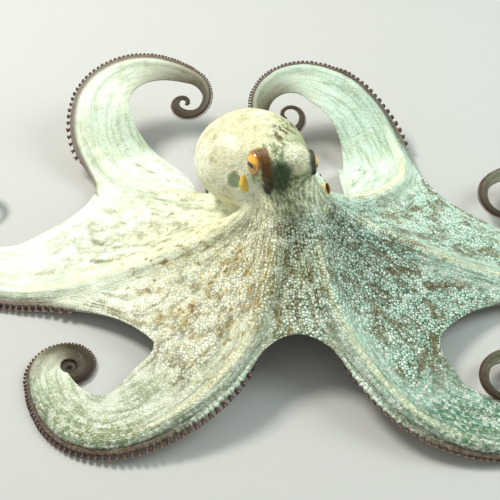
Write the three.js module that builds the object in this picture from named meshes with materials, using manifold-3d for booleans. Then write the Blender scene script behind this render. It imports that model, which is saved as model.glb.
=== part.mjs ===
// A common octopus (Octopus vulgaris), life size, gliding over the sea floor with its web spread
// like a tent and the ends of its arms curled. Millimetres, +Z up, +Y away from the side that the
// animal faces; the origin is the middle of the model's box on the floor.
//
// Eight arms leave a ring round the mouth. Each arm is a tapering muscle whose line is a heading
// that turns in two bends and a coil. A thin web joins neighbouring arms as far as a notch, and
// goes on past it as a narrowing fin along both. The bag of the mantle hangs behind the head.
import * as THREE from "three";
import { mergeVertices } from "three/addons/utils/BufferGeometryUtils.js";
import Module from "manifold-3d";

// ---- Driving dimensions -------------------------------------------------------------------
const RING_RADIUS = 36; // from the mouth's axis to where the arms begin
const ARM_WIDTH = 26; // across an arm at the ring
const TIP_WIDTH = 2.2;
const ARM_TAPER = 0.9;
const ARM_FALL = 1.8; // how steeply the arms fall from the ring to the floor
const ARM_DEPTH = 0.84; // height of an arm's back over its line, as a share of half the width
const SOLE_DEPTH = 0.88; // and of its sucker side below it
const ARM_REST = 0.36; // an arm's line above the floor it lies on, as a share of the width
const BACKS = [45, 90, 135]; // angles round the upper half of an arm's section
const SOLES = [60, 90, 120]; // and round the lower half, where it lies flat on the floor
const TIP_ANGLES = [60, 120]; // round both halves of a tip's section
const WEB_THICK = 2.4;
const FIN_THICK = 1.4; // at the free edge of the web
const GAP = 0.3; // between neighbouring solids
const WEB_GAP = 1.2; // between a web's edges and the pieces past them, whose seams run aslant
const WEB_START = 3; // from the ring to where a web begins
const STATION = 20; // along the arms and webs
const COIL_STEP = 36; // degrees that a coiled tip turns between sections
const ROLL_MOST = 25; // degrees that a coiled tip's suckers turn outwards
const ROLL_SPAN = [0.25, 0.85]; // shares of the length between which that turn grows
const WEB_SAG = 0.06; // of the span between two arms; none at the free edge
const FIN_START = [40, 180]; // where along the arm the fins grow to their full width
const FIN_END = 0.84; // share of the arm's length at which they have narrowed to a rim
const FIN_RIM = 0.1; // of the arm's width
const FIN_ROOT = 0.2; // most that half a fin's thickness may be of the arm's width
const FIN_DROOP = 0.06; // a fin's fall towards its edge, as a share of its width
const FIN_TURN = 60; // past the notch, until a fin stands square to its arm
const FIN_CLEAR = 0.6; // a fin's edge stays this far off the floor
const OPENING_STEPS = [2.5, 6]; // extra sections just past a notch
const NOTCH_ROUND = [12, 0.55]; // length of the notch's rounding: least, and share of its width

// Arms in order round the ring, anticlockwise from the front left one. ring, heading and the
// bends' turns are in degrees; the rest is in millimetres along the arm. bends: [from, to, turn].
// coil: from, first and last radius. sense: +1 curls to the left. lift: the curl leans up,
// [slope, level in y where it starts, from, to]. fins: inner and outer web past the notches.
// cuts: where the arm is divided past its notches.
const ARMS = [
  { name: "l1", ring: -67.5, heading: 281, bends: [[10, 130, 26], [105, 265, 58]], coil: [240, 60, 4.5],
    sense: 1, length: 470, rise: 80, drop: 260, lift: [0.14, -200, 240, 330], fins: [58, 4], cuts: [300] },
  { name: "l2", ring: -22.5, heading: 0, bends: [[0, 110, -8], [155, 285, 100]], coil: [296, 62, 4.5],
    sense: 1, length: 490, rise: 74, drop: 210, lift: [0.2, -10, 260, 350], fins: [50, 5], cuts: [320] },
  { name: "l3", ring: 22.5, heading: 41, bends: [[20, 125, 20], [95, 184, 47], [163, 254, 48]],
    coil: [272, 60, 4.5], sense: 1, length: 475, rise: 62, drop: 180, lift: [0.36, 60, 150, 260],
    fins: [54, 6], cuts: [300] },
  { name: "l4", ring: 67.5, heading: 74, bends: [[0, 50, 6]], coil: [58, 36, 3.6],
    sense: 1, length: 325, rise: 42, drop: 65, lift: [0, 0, 0, 1], fins: [0, 0], cuts: [140, 220] },
  { name: "r4", ring: 112.5, heading: 141, bends: [[25, 100, -48]], coil: [142, 29, 3.2],
    sense: -1, length: 376, rise: 42, drop: 65, lift: [0, 0, 0, 1], fins: [0, 0], cuts: [150, 240] },
  { name: "r3", ring: 157.5, heading: 143, bends: [[145, 400, -176]], coil: [378, 33, 3.6],
    sense: -1, length: 485, rise: 62, drop: 180, lift: [0.36, 60, 150, 260], fins: [52, 15], cuts: [340] },
  { name: "r2", ring: -157.5, heading: 184, bends: [[0, 110, 6], [140, 300, -42], [250, 350, -36]],
    coil: [340, 58, 4.5], sense: -1, length: 505, rise: 74, drop: 210, lift: [0.2, -10, 260, 350],
    fins: [68, 5], cuts: [340] },
  { name: "r1", ring: -112.5, heading: 257, bends: [[40, 190, -51], [170, 325, -99]], coil: [318, 30, 3.4],
    sense: -1, length: 460, rise: 80, drop: 260, lift: [0.03, -200, 240, 330], fins: [62, 4], cuts: [304] },
];
// The web's free edge between each arm and the next in the list: how far out it lies along the
// one and the other, and how near to the first of them its middle is.
const NOTCHES = [[138, 138], [172, 150], [50, 50], [50, 50], [50, 50], [178, 185], [138, 138], [80, 80]];
const SHARES = [0.5, 0.8, 0.5, 0.5, 0.5, 0.16, 0.55, 0.5];

// The body: forms that run into each other, seen from a hub inside them all.
const HUB = [-12, 6, 108];
const FORMS = [
  { centre: [-35, 44, 92], radii: [58, 48, 43], yaw: 118, pitch: -22 }, // mantle
  { centre: [-3, -2, 98], radii: [22, 24, 26], yaw: -70, pitch: 0 }, // neck
  { centre: [-10, -6, 129], radii: [15, 24, 17], yaw: -80, pitch: 0 }, // brow
  { centre: [-20.5, -8, 133], radii: [14, 14, 14], yaw: 0, pitch: 0 }, // mound of the right eye
  { centre: [1.5, -8, 131], radii: [14, 14, 14], yaw: 0, pitch: 0 }, // mound of the left eye
  { centre: [-1, 1, 75], radii: [35, 35, 15], yaw: 0, pitch: 0 }, // crown of the arms
];
const FOLD = 3; // how widely one form runs into another
const POLE = [-0.3, 0.57, 0.77]; // where the body's meridians meet, on the mantle's back
const BODY_RINGS = 11;
const RING_CROWD = 1.25; // how much nearer to each other those rings are by the arms
const CROWN_LIFT = 4; // above the arms' line, where the head's first directions point
const REACH_RANGE = [20, 130]; // the skin's distance from the hub lies between these
const RIDGE_FADE = 20; // degrees above the arms in which their ridges fade into the head
const EYE_RADIUS = 10.5;
const EYES = { right: [-28, -10, 133.5], left: [8.5, -9, 131.5] };
const NECK_CUT = { point: [-14, 12, 98], normal: [-0.42, 0.84, 0.34] };
const MOUTH = [0, 0, 60];
const FUNNEL = { base: [6, 14, 76], mouth: [26, 10, 87], inner: 5, outer: 5.5, wall: 1.2, depth: 12 };

// ---- Small helpers ------------------------------------------------------------------------
const vec = (p) => new THREE.Vector3(...p);
const radians = THREE.MathUtils.degToRad;
const smooth = (t) => THREE.MathUtils.smoothstep(t, 0, 1);
const ramp = (s, from, to) => smooth((s - from) / (to - from));
const UP = new THREE.Vector3(0, 0, 1);

// ---- Lines of the arms --------------------------------------------------------------------
function headingAt(arm, s) {
  let turned = arm.heading;
  for (const [from, to, turn] of arm.bends) turned += turn * ramp(s, from, to);
  const [from, first, last] = arm.coil;
  const run = arm.length - from;
  const radius = first - (first - last) * THREE.MathUtils.clamp((s - from) / run, 0, 1);
  const coiled = (run / (first - last)) * Math.log(first / radius);
  return radians(turned) + arm.sense * coiled;
}

const widthAt = (arm, s) =>
  TIP_WIDTH + (ARM_WIDTH - TIP_WIDTH) * Math.max(0, 1 - s / arm.length) ** ARM_TAPER;

// The arm's line, a point for each millimetre: it falls from the ring to the floor, and its curl
// leans up where lift says so.
function traceArm(arm) {
  const [slope, level, from, to] = arm.lift;
  let x = RING_RADIUS * Math.cos(radians(arm.ring));
  let y = RING_RADIUS * Math.sin(radians(arm.ring));
  const line = [];
  for (let s = 0; s <= arm.length; s++) {
    if (s > 0) {
      const heading = headingAt(arm, s - 0.5);
      x += Math.cos(heading);
      y += Math.sin(heading);
    }
    const rest = ARM_REST * widthAt(arm, s);
    const fall = Math.max(0, 1 - s / arm.drop) ** ARM_FALL;
    const lift = slope * Math.max(0, y - level) * ramp(s, from, to);
    line.push(new THREE.Vector3(x, y, rest + (arm.rise - rest) * fall + lift));
  }
  return line;
}
for (const arm of ARMS) arm.line = traceArm(arm);

function pointAt(arm, s) {
  const i = THREE.MathUtils.clamp(Math.floor(s), 0, arm.length - 1);
  return arm.line[i].clone().lerp(arm.line[i + 1], s - i);
}

// Directions at a station: along the arm, to its left, to its back, and the last two rolled so
// that the suckers of the curled part face outwards.
function frameAt(arm, s) {
  const near = THREE.MathUtils.clamp(s, 2, arm.length - 2);
  const along = pointAt(arm, near + 2).sub(pointAt(arm, near - 2)).normalize();
  const lean = arm.lift[0] * ramp(s, arm.lift[2], arm.lift[3]);
  const plane = new THREE.Vector3(0, -lean, 1).normalize();
  const left = plane.clone().cross(along).normalize();
  const back = along.clone().cross(left).normalize();
  const [rollFrom, rollTo] = ROLL_SPAN.map((share) => share * arm.length);
  const roll = -arm.sense * radians(ROLL_MOST) * ramp(s, rollFrom, rollTo);
  const side = left.clone().multiplyScalar(Math.cos(roll)).addScaledVector(back, -Math.sin(roll));
  const dorsal = back.clone().multiplyScalar(Math.cos(roll)).addScaledVector(left, Math.sin(roll));
  return { left, back, side, dorsal };
}

function onFloor(p, level = 0) {
  p.z = Math.max(p.z, level);
  return p;
}

// A point of the arm's skin: angle 0 is its left side, 90 its back, 180 its right side.
function sectionPoint(arm, s, angle, grow = 0) {
  const { side, dorsal } = frameAt(arm, s);
  const half = widthAt(arm, s) / 2 + grow;
  const deep = half * (Math.sin(radians(angle)) > 0 ? ARM_DEPTH : SOLE_DEPTH);
  return onFloor(
    pointAt(arm, s)
      .addScaledVector(side, half * Math.cos(radians(angle)))
      .addScaledVector(dorsal, deep * Math.sin(radians(angle))),
  );
}

// ---- Web ----------------------------------------------------------------------------------
const nextOf = (i) => (i + 1) % ARMS.length;
const webOn = (i, hand) => (hand > 0 ? i : (i + ARMS.length - 1) % ARMS.length);
const notchOn = (i, hand) => NOTCHES[webOn(i, hand)][hand > 0 ? 0 : 1];

// Where the web leaves the arm: hand +1 is its left side, -1 its right side.
const rootAt = (i, hand, s, grow = 0) => sectionPoint(ARMS[i], s, hand > 0 ? 0 : 180, grow);

// The web between arm i and the next: t runs out to its free edge, v across it.
function webPoint(i, t, v, grow = 0) {
  const [from, to] = NOTCHES[i].map((notch) => notch * t);
  const a = rootAt(i, 1, from, grow);
  const b = rootAt(nextOf(i), -1, to, grow);
  const normals = [frameAt(ARMS[i], from).dorsal, frameAt(ARMS[nextOf(i)], to).dorsal];
  const normal = normals[0].lerp(normals[1], v).normalize();
  const sag = 4 * v * (1 - v) * WEB_SAG * a.distanceTo(b) * (1 - t ** 2);
  const point = onFloor(a.lerp(b, v).addScaledVector(normal, -sag), WEB_THICK);
  return { point, normal };
}

// The free edge of the fin past the notch: it starts in the web's own edge, and draws in to the
// fin's width in a round notch.
function finEdge(i, hand, s) {
  const arm = ARMS[i];
  const web = webOn(i, hand);
  const notch = notchOn(i, hand);
  const middle = webPoint(web, 1, SHARES[web]);
  const reach = middle.point.sub(rootAt(i, hand, notch));
  const widest = reach.length();
  const full = arm.fins[hand === arm.sense ? 0 : 1];
  const shape = ramp(s, ...FIN_START) * Math.max(0, 1 - (s / (FIN_END * arm.length)) ** 2);
  const own = full * shape + FIN_RIM * widthAt(arm, s);
  const rounding = NOTCH_ROUND[0] + NOTCH_ROUND[1] * widest;
  const draw = THREE.MathUtils.clamp((s - notch) / rounding, 0, 1);
  const width = own + (widest - own) * (1 - Math.sqrt(1 - (1 - draw) ** 2));
  const { left, dorsal } = frameAt(arm, s);
  const out = left.multiplyScalar(hand).addScaledVector(UP, -FIN_DROOP).normalize();
  const turn = ramp(s, notch, notch + FIN_TURN);
  const way = reach.normalize().lerp(out, turn).normalize();
  const point = onFloor(rootAt(i, hand, s).addScaledVector(way, width), FIN_THICK + FIN_CLEAR);
  return { point, normal: middle.normal.lerp(dorsal, turn).normalize() };
}

// ---- Solids from rings --------------------------------------------------------------------
// A ring is an upper and a lower row of points from one side to the other. Rows that start or
// end in the same point share it. Rings are joined in order and closed at both ends.
function loft(rings) {
  const { upper, lower } = rings[0];
  const count = upper.length;
  const sharedFirst = upper[0].distanceTo(lower[0]) < 1e-4;
  const sharedLast = upper[count - 1].distanceTo(lower[count - 1]) < 1e-4;
  const points = [];
  const rows = rings.map((ring) => {
    const up = ring.upper.map((p) => points.push(p) - 1);
    const low = ring.lower.map((p, k) => {
      if (k === 0 && sharedFirst) return up[0];
      if (k === count - 1 && sharedLast) return up[k];
      return points.push(p) - 1;
    });
    return { up, low };
  });
  const faces = [];
  const quad = (a, b, c, d) => faces.push([a, b, c], [a, c, d]);
  for (let k = 0; k < rows.length - 1; k++) {
    const [a, b] = [rows[k], rows[k + 1]];
    for (let j = 0; j < count - 1; j++) {
      quad(a.up[j], a.up[j + 1], b.up[j + 1], b.up[j]);
      quad(a.low[j + 1], a.low[j], b.low[j], b.low[j + 1]);
    }
    quad(a.low[0], a.up[0], b.up[0], b.low[0]);
    quad(a.up[count - 1], a.low[count - 1], b.low[count - 1], b.up[count - 1]);
  }
  const [start, end] = [rows[0], rows[rows.length - 1]];
  for (let j = 0; j < count - 1; j++) {
    quad(start.low[j], start.low[j + 1], start.up[j + 1], start.up[j]);
    quad(end.up[j], end.up[j + 1], end.low[j + 1], end.low[j]);
  }
  return { points, faces: faces.filter(([a, b, c]) => a !== b && b !== c && c !== a) };
}

// Rows of an arm's section, with a fin on each side where the web has parted.
function armRing(i, s, fins, isTip, grow = 0) {
  const arm = ARMS[i];
  const { dorsal } = frameAt(arm, s);
  const sideRows = (hand, fin) => {
    if (!fin) {
      const root = rootAt(i, hand, s, grow);
      return [[root], [root]];
    }
    const edge = finEdge(i, hand, s);
    const root = rootAt(i, hand, s);
    const thick = Math.min(WEB_THICK / 2, FIN_ROOT * widthAt(arm, s));
    const thin = Math.min(FIN_THICK / 2, thick);
    const lay = (up) => onFloor(root.clone().addScaledVector(dorsal, up * thick));
    const tip = (up) => edge.point.clone().addScaledVector(edge.normal, up * thin);
    return [[lay(1), tip(1)], [lay(-1), tip(-1)]];
  };
  const [leftUp, leftLow] = sideRows(1, fins.left);
  const [rightUp, rightLow] = sideRows(-1, fins.right);
  const [backs, soles] = isTip ? [TIP_ANGLES, TIP_ANGLES] : [BACKS, SOLES];
  return {
    upper: [...leftUp.reverse(), ...backs.map((a) => sectionPoint(arm, s, a, grow)), ...rightUp],
    lower: [...leftLow.reverse(), ...soles.map((a) => sectionPoint(arm, s, -a, grow)), ...rightLow],
  };
}

function stations(from, to, step) {
  const count = Math.max(1, Math.round((to - from) / step));
  return Array.from({ length: count + 1 }, (_, k) => from + ((to - from) * k) / count);
}

// Stations along a coil, nearer to each other where it turns faster.
function coilStations(arm, from, to) {
  const list = [from];
  let s = from;
  while (s < to) {
    const start = headingAt(arm, s);
    let next = s;
    while (next < to && Math.abs(headingAt(arm, next) - start) < radians(COIL_STEP)) next += 0.5;
    s = Math.min(next, s + STATION, to);
    if (to - s < 2) s = to;
    list.push(s);
  }
  return list;
}

function armPiece(i, from, to, grow = 0) {
  const arm = ARMS[i];
  const middle = (from + to) / 2;
  const last = to === arm.length;
  const hasFin = (hand) => {
    const inner = hand === arm.sense;
    return middle > notchOn(i, hand) && arm.fins[inner ? 0 : 1] > 0 && (inner || !last);
  };
  const fins = { left: hasFin(1), right: hasFin(-1) };
  const [start, end] = [from + GAP / 2, last ? to : to - GAP / 2];
  const coiled = from >= arm.cuts.at(-1) || from >= arm.coil[0];
  const at = coiled ? coilStations(arm, start, end) : stations(start, end, STATION);
  const opens = [1, -1].some((hand) => notchOn(i, hand) === from && arm.fins[0] > 0);
  if (opens) at.splice(1, 0, ...OPENING_STEPS.map((step) => from + step));
  return loft(at.map((s) => armRing(i, s, fins, last, grow)));
}

// The web between an arm and the next, out to the notch.
function webPiece(i, grow = 0) {
  const reach = Math.max(...NOTCHES[i]);
  const rings = stations(WEB_START - grow, reach - WEB_GAP + grow, STATION).map((s) => {
    const row = [1, 0.75, 0.5, 0.25, 0].map((v) => webPoint(i, s / reach, v, GAP - grow));
    const lay = (up) =>
      row.map(({ point, normal }) => point.clone().addScaledVector(normal, up * (WEB_THICK / 2 + grow)));
    return { upper: lay(1), lower: lay(-1) };
  });
  return loft(rings);
}

// ---- Body ---------------------------------------------------------------------------------
// Roughly how far a point is outside a turned ellipsoid.
function outside({ centre, radii, yaw, pitch }, point) {
  const tilt = new THREE.Euler(0, radians(-pitch), radians(yaw), "ZYX");
  const turn = new THREE.Quaternion().setFromEuler(tilt).invert();
  const local = point.clone().sub(vec(centre)).applyQuaternion(turn).divide(vec(radii));
  const size = local.length();
  return (size * (size - 1)) / local.divide(vec(radii)).length();
}

// The same for the whole body: near a meeting of two forms the skin fills the fold.
function outsideBody(point) {
  const sum = FORMS.reduce((total, form) => total + Math.exp(-outside(form, point) / FOLD), 0);
  return -FOLD * Math.log(sum);
}

// How far the skin is from the hub.
function bodyReach(way) {
  let [near, far] = REACH_RANGE;
  while (far - near > 0.01) {
    const reach = (near + far) / 2;
    if (outsideBody(way.clone().multiplyScalar(reach).add(vec(HUB))) > 0) far = reach;
    else near = reach;
  }
  return near;
}

// The points of the ring where head and arms meet: the halves of the arms' first sections.
function crownRing(lower) {
  const angles = [0, ...(lower ? SOLES.map((a) => -a) : BACKS), lower ? -180 : 180].reverse();
  return ARMS.flatMap((arm) => angles.map((a) => sectionPoint(arm, 0, a)));
}

// Rows of skin from the ring of the arms up over head and mantle to the pole. The ridges of the
// arms fade out above the ring.
function bodyShell() {
  const top = crownRing(false);
  const low = crownRing(true);
  const count = top.length;
  const points = [...top];
  const faces = [];
  const join = (a, b) => {
    for (let k = 0; k < count; k++) {
      const n = (k + 1) % count;
      faces.push([a[k], a[n], b[n]], [a[k], b[n], b[k]]);
    }
  };
  const hub = vec(HUB);
  const pole = vec(POLE).normalize();
  const starts = top.map((p, k) => {
    const { rise } = ARMS[Math.floor(k / 5)];
    const level = new THREE.Vector3(p.x, p.y, rise + CROWN_LIFT).sub(hub).normalize();
    const skin = level.clone().multiplyScalar(bodyReach(level)).add(hub);
    return { level, spread: level.angleTo(pole), ridge: p.clone().sub(skin) };
  });
  let ring = top.map((_, k) => k);
  for (let row = 1; row < BODY_RINGS; row++) {
    const t = (row / BODY_RINGS) ** RING_CROWD;
    const next = starts.map(({ level, spread, ridge }) => {
      const way = level.clone().multiplyScalar(Math.sin((1 - t) * spread));
      way.addScaledVector(pole, Math.sin(t * spread)).normalize();
      const fade = 1 - smooth((t * spread) / radians(RIDGE_FADE));
      const p = way.multiplyScalar(bodyReach(way)).add(hub).addScaledVector(ridge, fade);
      return points.push(p) - 1;
    });
    join(ring, next);
    ring = next;
  }
  const apex = points.push(pole.clone().multiplyScalar(bodyReach(pole)).add(hub)) - 1;
  ring.forEach((k, j) => faces.push([k, ring[(j + 1) % count], apex]));
  // The walls that the arms' first sections cover, and the underside round the mouth.
  const under = low.map((p, k) => (k % 5 === 0 || k % 5 === 4 ? k : points.push(p) - 1));
  for (let k = 0; k < count; k++) {
    if (k % 5 < 4) faces.push([k, under[k], under[k + 1]], [k, under[k + 1], k + 1]);
  }
  const mouth = points.push(new THREE.Vector3(...MOUTH)) - 1;
  under.forEach((k, j) => faces.push([under[(j + 1) % count], k, mouth]));
  return { points, faces: faces.filter(([a, b, c]) => a !== b && b !== c && c !== a) };
}

// ---- Booleans -----------------------------------------------------------------------------
const wasm = await Module();
wasm.setup();

function geometryOf({ points, faces }) {
  const geometry = new THREE.BufferGeometry().setFromPoints(points);
  geometry.setIndex(faces.flat());
  return geometry;
}

function solidOf(geometry) {
  const bare = geometry.clone();
  for (const name of Object.keys(bare.attributes)) if (name !== "position") bare.deleteAttribute(name);
  const merged = mergeVertices(bare, 1e-4);
  return new wasm.Manifold(
    new wasm.Mesh({
      numProp: 3,
      vertProperties: merged.attributes.position.array,
      triVerts: new Uint32Array(merged.index.array),
    }),
  );
}

// The geometry of a solid, without the crumbs that a cut can leave.
function geometryFrom(solid) {
  const bodies = solid.decompose().sort((a, b) => b.volume() - a.volume());
  const mesh = bodies[0].getMesh();
  const geometry = new THREE.BufferGeometry();
  geometry.setAttribute("position", new THREE.BufferAttribute(mesh.vertProperties, 3));
  geometry.setIndex(Array.from(mesh.triVerts));
  return geometry;
}

// A large block whose near face lies on a plane, for cutting.
function halfSpace({ point, normal }, offset) {
  const size = 400;
  const turn = new THREE.Quaternion().setFromUnitVectors(UP, vec(normal).normalize());
  const block = new THREE.BoxGeometry(size, size, size);
  block.translate(0, 0, size / 2 + offset).applyQuaternion(turn).translate(...point);
  return solidOf(block);
}

function ball(centre, radius, detail = 12) {
  return new THREE.SphereGeometry(radius, detail, Math.round(detail * 0.7)).translate(...centre);
}

// A turned profile laid along a line from base to mouth.
function turnedAlong(profile, base, mouth) {
  const way = vec(mouth).sub(vec(base)).normalize();
  const lathe = new THREE.LatheGeometry(profile.map(([r, h]) => new THREE.Vector2(r, h)), 14);
  lathe.applyQuaternion(new THREE.Quaternion().setFromUnitVectors(new THREE.Vector3(0, 1, 0), way));
  return lathe.translate(...base);
}

function funnelGeometry(grow) {
  const { base, mouth, inner, outer, wall, depth } = FUNNEL;
  const length = vec(mouth).distanceTo(vec(base));
  const around = [[0, -GAP], [inner + GAP, -GAP], [outer + GAP, length + GAP], [0, length + GAP]];
  const tube = [[0, 0], [inner, 0], [inner, 0.6 * length], [outer, length], [outer - wall, length],
    [inner - wall, length - depth], [0, length - depth]];
  return turnedAlong(grow ? around : tube, base, mouth);
}

// ---- Assembly -----------------------------------------------------------------------------
const skinPale = new THREE.MeshStandardMaterial({ color: 0xd9d4b4, roughness: 0.55 });
const skinWeb = new THREE.MeshStandardMaterial({ color: 0xcfd6bd, roughness: 0.5 });
const skinBrown = new THREE.MeshStandardMaterial({ color: 0x8a6a4c, roughness: 0.55 });
const eyeGold = new THREE.MeshStandardMaterial({ color: 0xc98b35, roughness: 0.15 });

const model = new THREE.Group();
function add(name, geometry, material) {
  const mesh = new THREE.Mesh(geometry, material);
  mesh.name = name;
  model.add(mesh);
  return mesh;
}

ARMS.forEach((arm, i) => {
  const notches = [notchOn(i, 1), notchOn(i, -1)].sort((a, b) => a - b);
  const cuts = [...new Set([0, ...notches, ...arm.cuts, arm.length])];
  for (let k = 0; k < cuts.length - 1; k++) {
    const last = k === cuts.length - 2;
    const name = last ? "tip" : ["base", "middle", "end"][k];
    const piece = geometryOf(armPiece(i, cuts[k], cuts[k + 1]));
    add(`arm_${arm.name}_${name}`, piece, last ? skinBrown : skinPale);
  }
  add(`web_${arm.name}_${ARMS[nextOf(i)].name}`, geometryOf(webPiece(i)), skinWeb);
});

const sockets = Object.values(EYES).map((eye) => solidOf(ball(eye, EYE_RADIUS + GAP)));
let body = solidOf(geometryOf(bodyShell()));
const resting = [2, 3, 4, 5].map((i) => webPiece(i, 2 * GAP));
resting.push(armPiece(4, 0, NOTCHES[4][0], GAP), armPiece(5, 0, NOTCHES[4][1], GAP));
const cutters = [...sockets, solidOf(funnelGeometry(true)), ...resting.map((p) => solidOf(geometryOf(p)))];
for (const cutter of cutters) body = body.subtract(cutter);
add("head", geometryFrom(body.subtract(halfSpace(NECK_CUT, -GAP / 2))), skinPale);
add("mantle", geometryFrom(body.intersect(halfSpace(NECK_CUT, GAP / 2))), skinPale);
add("funnel", funnelGeometry(false), skinPale);
for (const [hand, eye] of Object.entries(EYES)) add(`eye_${hand}`, ball(eye, EYE_RADIUS), eyeGold);

// The origin is the middle of the box, on the floor.
model.updateMatrixWorld(true);
const box = new THREE.Box3().setFromObject(model, true);
const centre = box.getCenter(new THREE.Vector3());
for (const mesh of model.children) mesh.position.set(-centre.x, -centre.y, -box.min.z);

export default model;
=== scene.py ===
import math

import bpy
import numpy as np
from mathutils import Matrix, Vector


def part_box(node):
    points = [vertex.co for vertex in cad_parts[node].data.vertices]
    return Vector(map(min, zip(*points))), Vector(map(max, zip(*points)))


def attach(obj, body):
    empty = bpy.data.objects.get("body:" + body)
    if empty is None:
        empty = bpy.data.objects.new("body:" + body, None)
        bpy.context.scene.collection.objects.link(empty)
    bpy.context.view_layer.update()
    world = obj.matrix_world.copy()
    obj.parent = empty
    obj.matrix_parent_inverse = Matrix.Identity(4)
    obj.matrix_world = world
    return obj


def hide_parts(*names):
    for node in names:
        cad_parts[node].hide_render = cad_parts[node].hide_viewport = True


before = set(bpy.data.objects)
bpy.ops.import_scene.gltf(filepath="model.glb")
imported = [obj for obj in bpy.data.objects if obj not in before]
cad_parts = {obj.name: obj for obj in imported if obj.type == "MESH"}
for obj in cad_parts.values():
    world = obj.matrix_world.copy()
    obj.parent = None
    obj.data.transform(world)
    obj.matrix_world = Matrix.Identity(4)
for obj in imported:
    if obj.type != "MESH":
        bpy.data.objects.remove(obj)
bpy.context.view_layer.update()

# ---- Arms --------------------------------------------------------------------------------
# Eight tapering muscles leave a ring round the mouth. Each one's line is a heading that turns in
# bends and a coil while it falls to the floor. They carry everything else: the webs hang between
# them, the suckers sit under them, and the head rises from their ring. Millimetres from here on.
MM = 0.001
RING_RADIUS = 36
ARM_WIDTH = 26  # at the ring
TIP_WIDTH = 2.2
ARM_TAPER = 0.9  # power by which the width falls off
ARM_FALL = 1.8  # power by which the height falls off
ARM_DEPTH = 0.84  # depth of the back, as a share of half the width
SOLE_DEPTH = 0.88  # depth of the sole, as a share of half the width
ARM_REST = 0.36  # height of the middle line of a resting arm, as a share of its width
ROLL_MOST = 25  # degrees that an arm rolls about its own line
ROLL_SPAN = (0.25, 0.85)  # shares of its length between which it does so
# Of each arm: ring, its place round the mouth, and heading, its way out from there, in degrees;
# bends, each as (from, to, degrees turned); coil, as (start, first radius, last radius), and
# sense, 1 where it curls to its left; rise, its height at the ring, and drop, where it has come
# down; lift, how it climbs towards the rear, as (slope, where the climb begins, from, to); fins,
# their width inside and outside the curl, and fin_start, where they grow if not at FIN_START.
ARMS = [
    dict(name="l1", ring=-67.5, heading=281, bends=[(10, 130, 26), (105, 265, 58)], coil=(240, 60, 4.5),
         sense=1, length=470, rise=80, drop=260, lift=(0.14, -200, 240, 330), fins=(58, 4)),
    dict(name="l2", ring=-22.5, heading=0, bends=[(0, 110, -8), (155, 285, 100)], coil=(296, 62, 4.5),
         sense=1, length=490, rise=74, drop=210, lift=(0.2, -10, 260, 350), fins=(50, 5)),
    dict(name="l3", ring=22.5, heading=41, bends=[(20, 125, 20), (95, 184, 47), (163, 254, 48)],
         coil=(272, 60, 4.5), sense=1, length=475, rise=62, drop=180, lift=(0.36, 60, 150, 260),
         fins=(54, 6), fin_start=(10, 120)),
    dict(name="l4", ring=67.5, heading=74, bends=[(0, 50, 6)], coil=(58, 36, 3.6),
         sense=1, length=325, rise=42, drop=65, lift=(0, 0, 0, 1), fins=(0, 0)),
    dict(name="r4", ring=112.5, heading=141, bends=[(25, 100, -48)], coil=(142, 29, 3.2),
         sense=-1, length=376, rise=42, drop=65, lift=(0, 0, 0, 1), fins=(0, 0)),
    dict(name="r3", ring=157.5, heading=143, bends=[(145, 400, -176)], coil=(378, 33, 3.6),
         sense=-1, length=485, rise=62, drop=180, lift=(0.36, 60, 150, 260), fins=(52, 15)),
    dict(name="r2", ring=-157.5, heading=184, bends=[(0, 110, 6), (140, 300, -42), (250, 350, -36)],
         coil=(340, 58, 4.5), sense=-1, length=505, rise=74, drop=210, lift=(0.2, -10, 260, 350),
         fins=(68, 5)),
    dict(name="r1", ring=-112.5, heading=257, bends=[(40, 190, -51), (170, 325, -99)],
         coil=(318, 30, 3.4), sense=-1, length=460, rise=80, drop=260, lift=(0.03, -200, 240, 330),
         fins=(62, 4)),
]
LEFT, RIGHT = 1, -1
UP = np.array([0.0, 0.0, 1.0])


def smooth(t):
    """0 up to 0, 1 from 1, and an easy curve between."""
    t = np.clip(t, 0, 1)
    return t * t * (3 - 2 * t)


def ramp(s, start, end):
    return smooth((np.asarray(s, float) - start) / (end - start))


def lerp(a, b, t):
    return a + (b - a) * t


def unit(v):
    return v / np.linalg.norm(v, axis=-1, keepdims=True)


def coil_radius(arm, s):
    start, first, last = arm["coil"]
    return first - (first - last) * np.clip((s - start) / (arm["length"] - start), 0, 1)


def heading(arm, s):
    turned = arm["heading"] + sum(turn * ramp(s, start, end) for start, end, turn in arm["bends"])
    start, first, last = arm["coil"]
    winds = (arm["length"] - start) / (first - last) * np.log(first / coil_radius(arm, s))
    return np.radians(turned) + arm["sense"] * winds


def width_at(arm, s):
    return TIP_WIDTH + (ARM_WIDTH - TIP_WIDTH) * np.maximum(0, 1 - s / arm["length"]) ** ARM_TAPER


def trace(arm):
    """The arm's line, a point for each millimetre."""
    s = np.arange(arm["length"] + 1.0)
    way = heading(arm, s[1:] - 0.5)
    ring = math.radians(arm["ring"])
    x = RING_RADIUS * math.cos(ring) + np.concatenate([[0], np.cumsum(np.cos(way))])
    y = RING_RADIUS * math.sin(ring) + np.concatenate([[0], np.cumsum(np.sin(way))])
    slope, level, start, end = arm["lift"]
    rest = ARM_REST * width_at(arm, s)
    fall = np.maximum(0, 1 - s / arm["drop"]) ** ARM_FALL
    lift = slope * np.maximum(0, y - level) * ramp(s, start, end)
    return np.stack([x, y, rest + (arm["rise"] - rest) * fall + lift], -1)


for arm in ARMS:
    arm["line"] = trace(arm)


def point_at(arm, s):
    stations = np.arange(len(arm["line"]))
    return np.stack([np.interp(s, stations, arm["line"][:, axis]) for axis in range(3)], -1)


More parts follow.
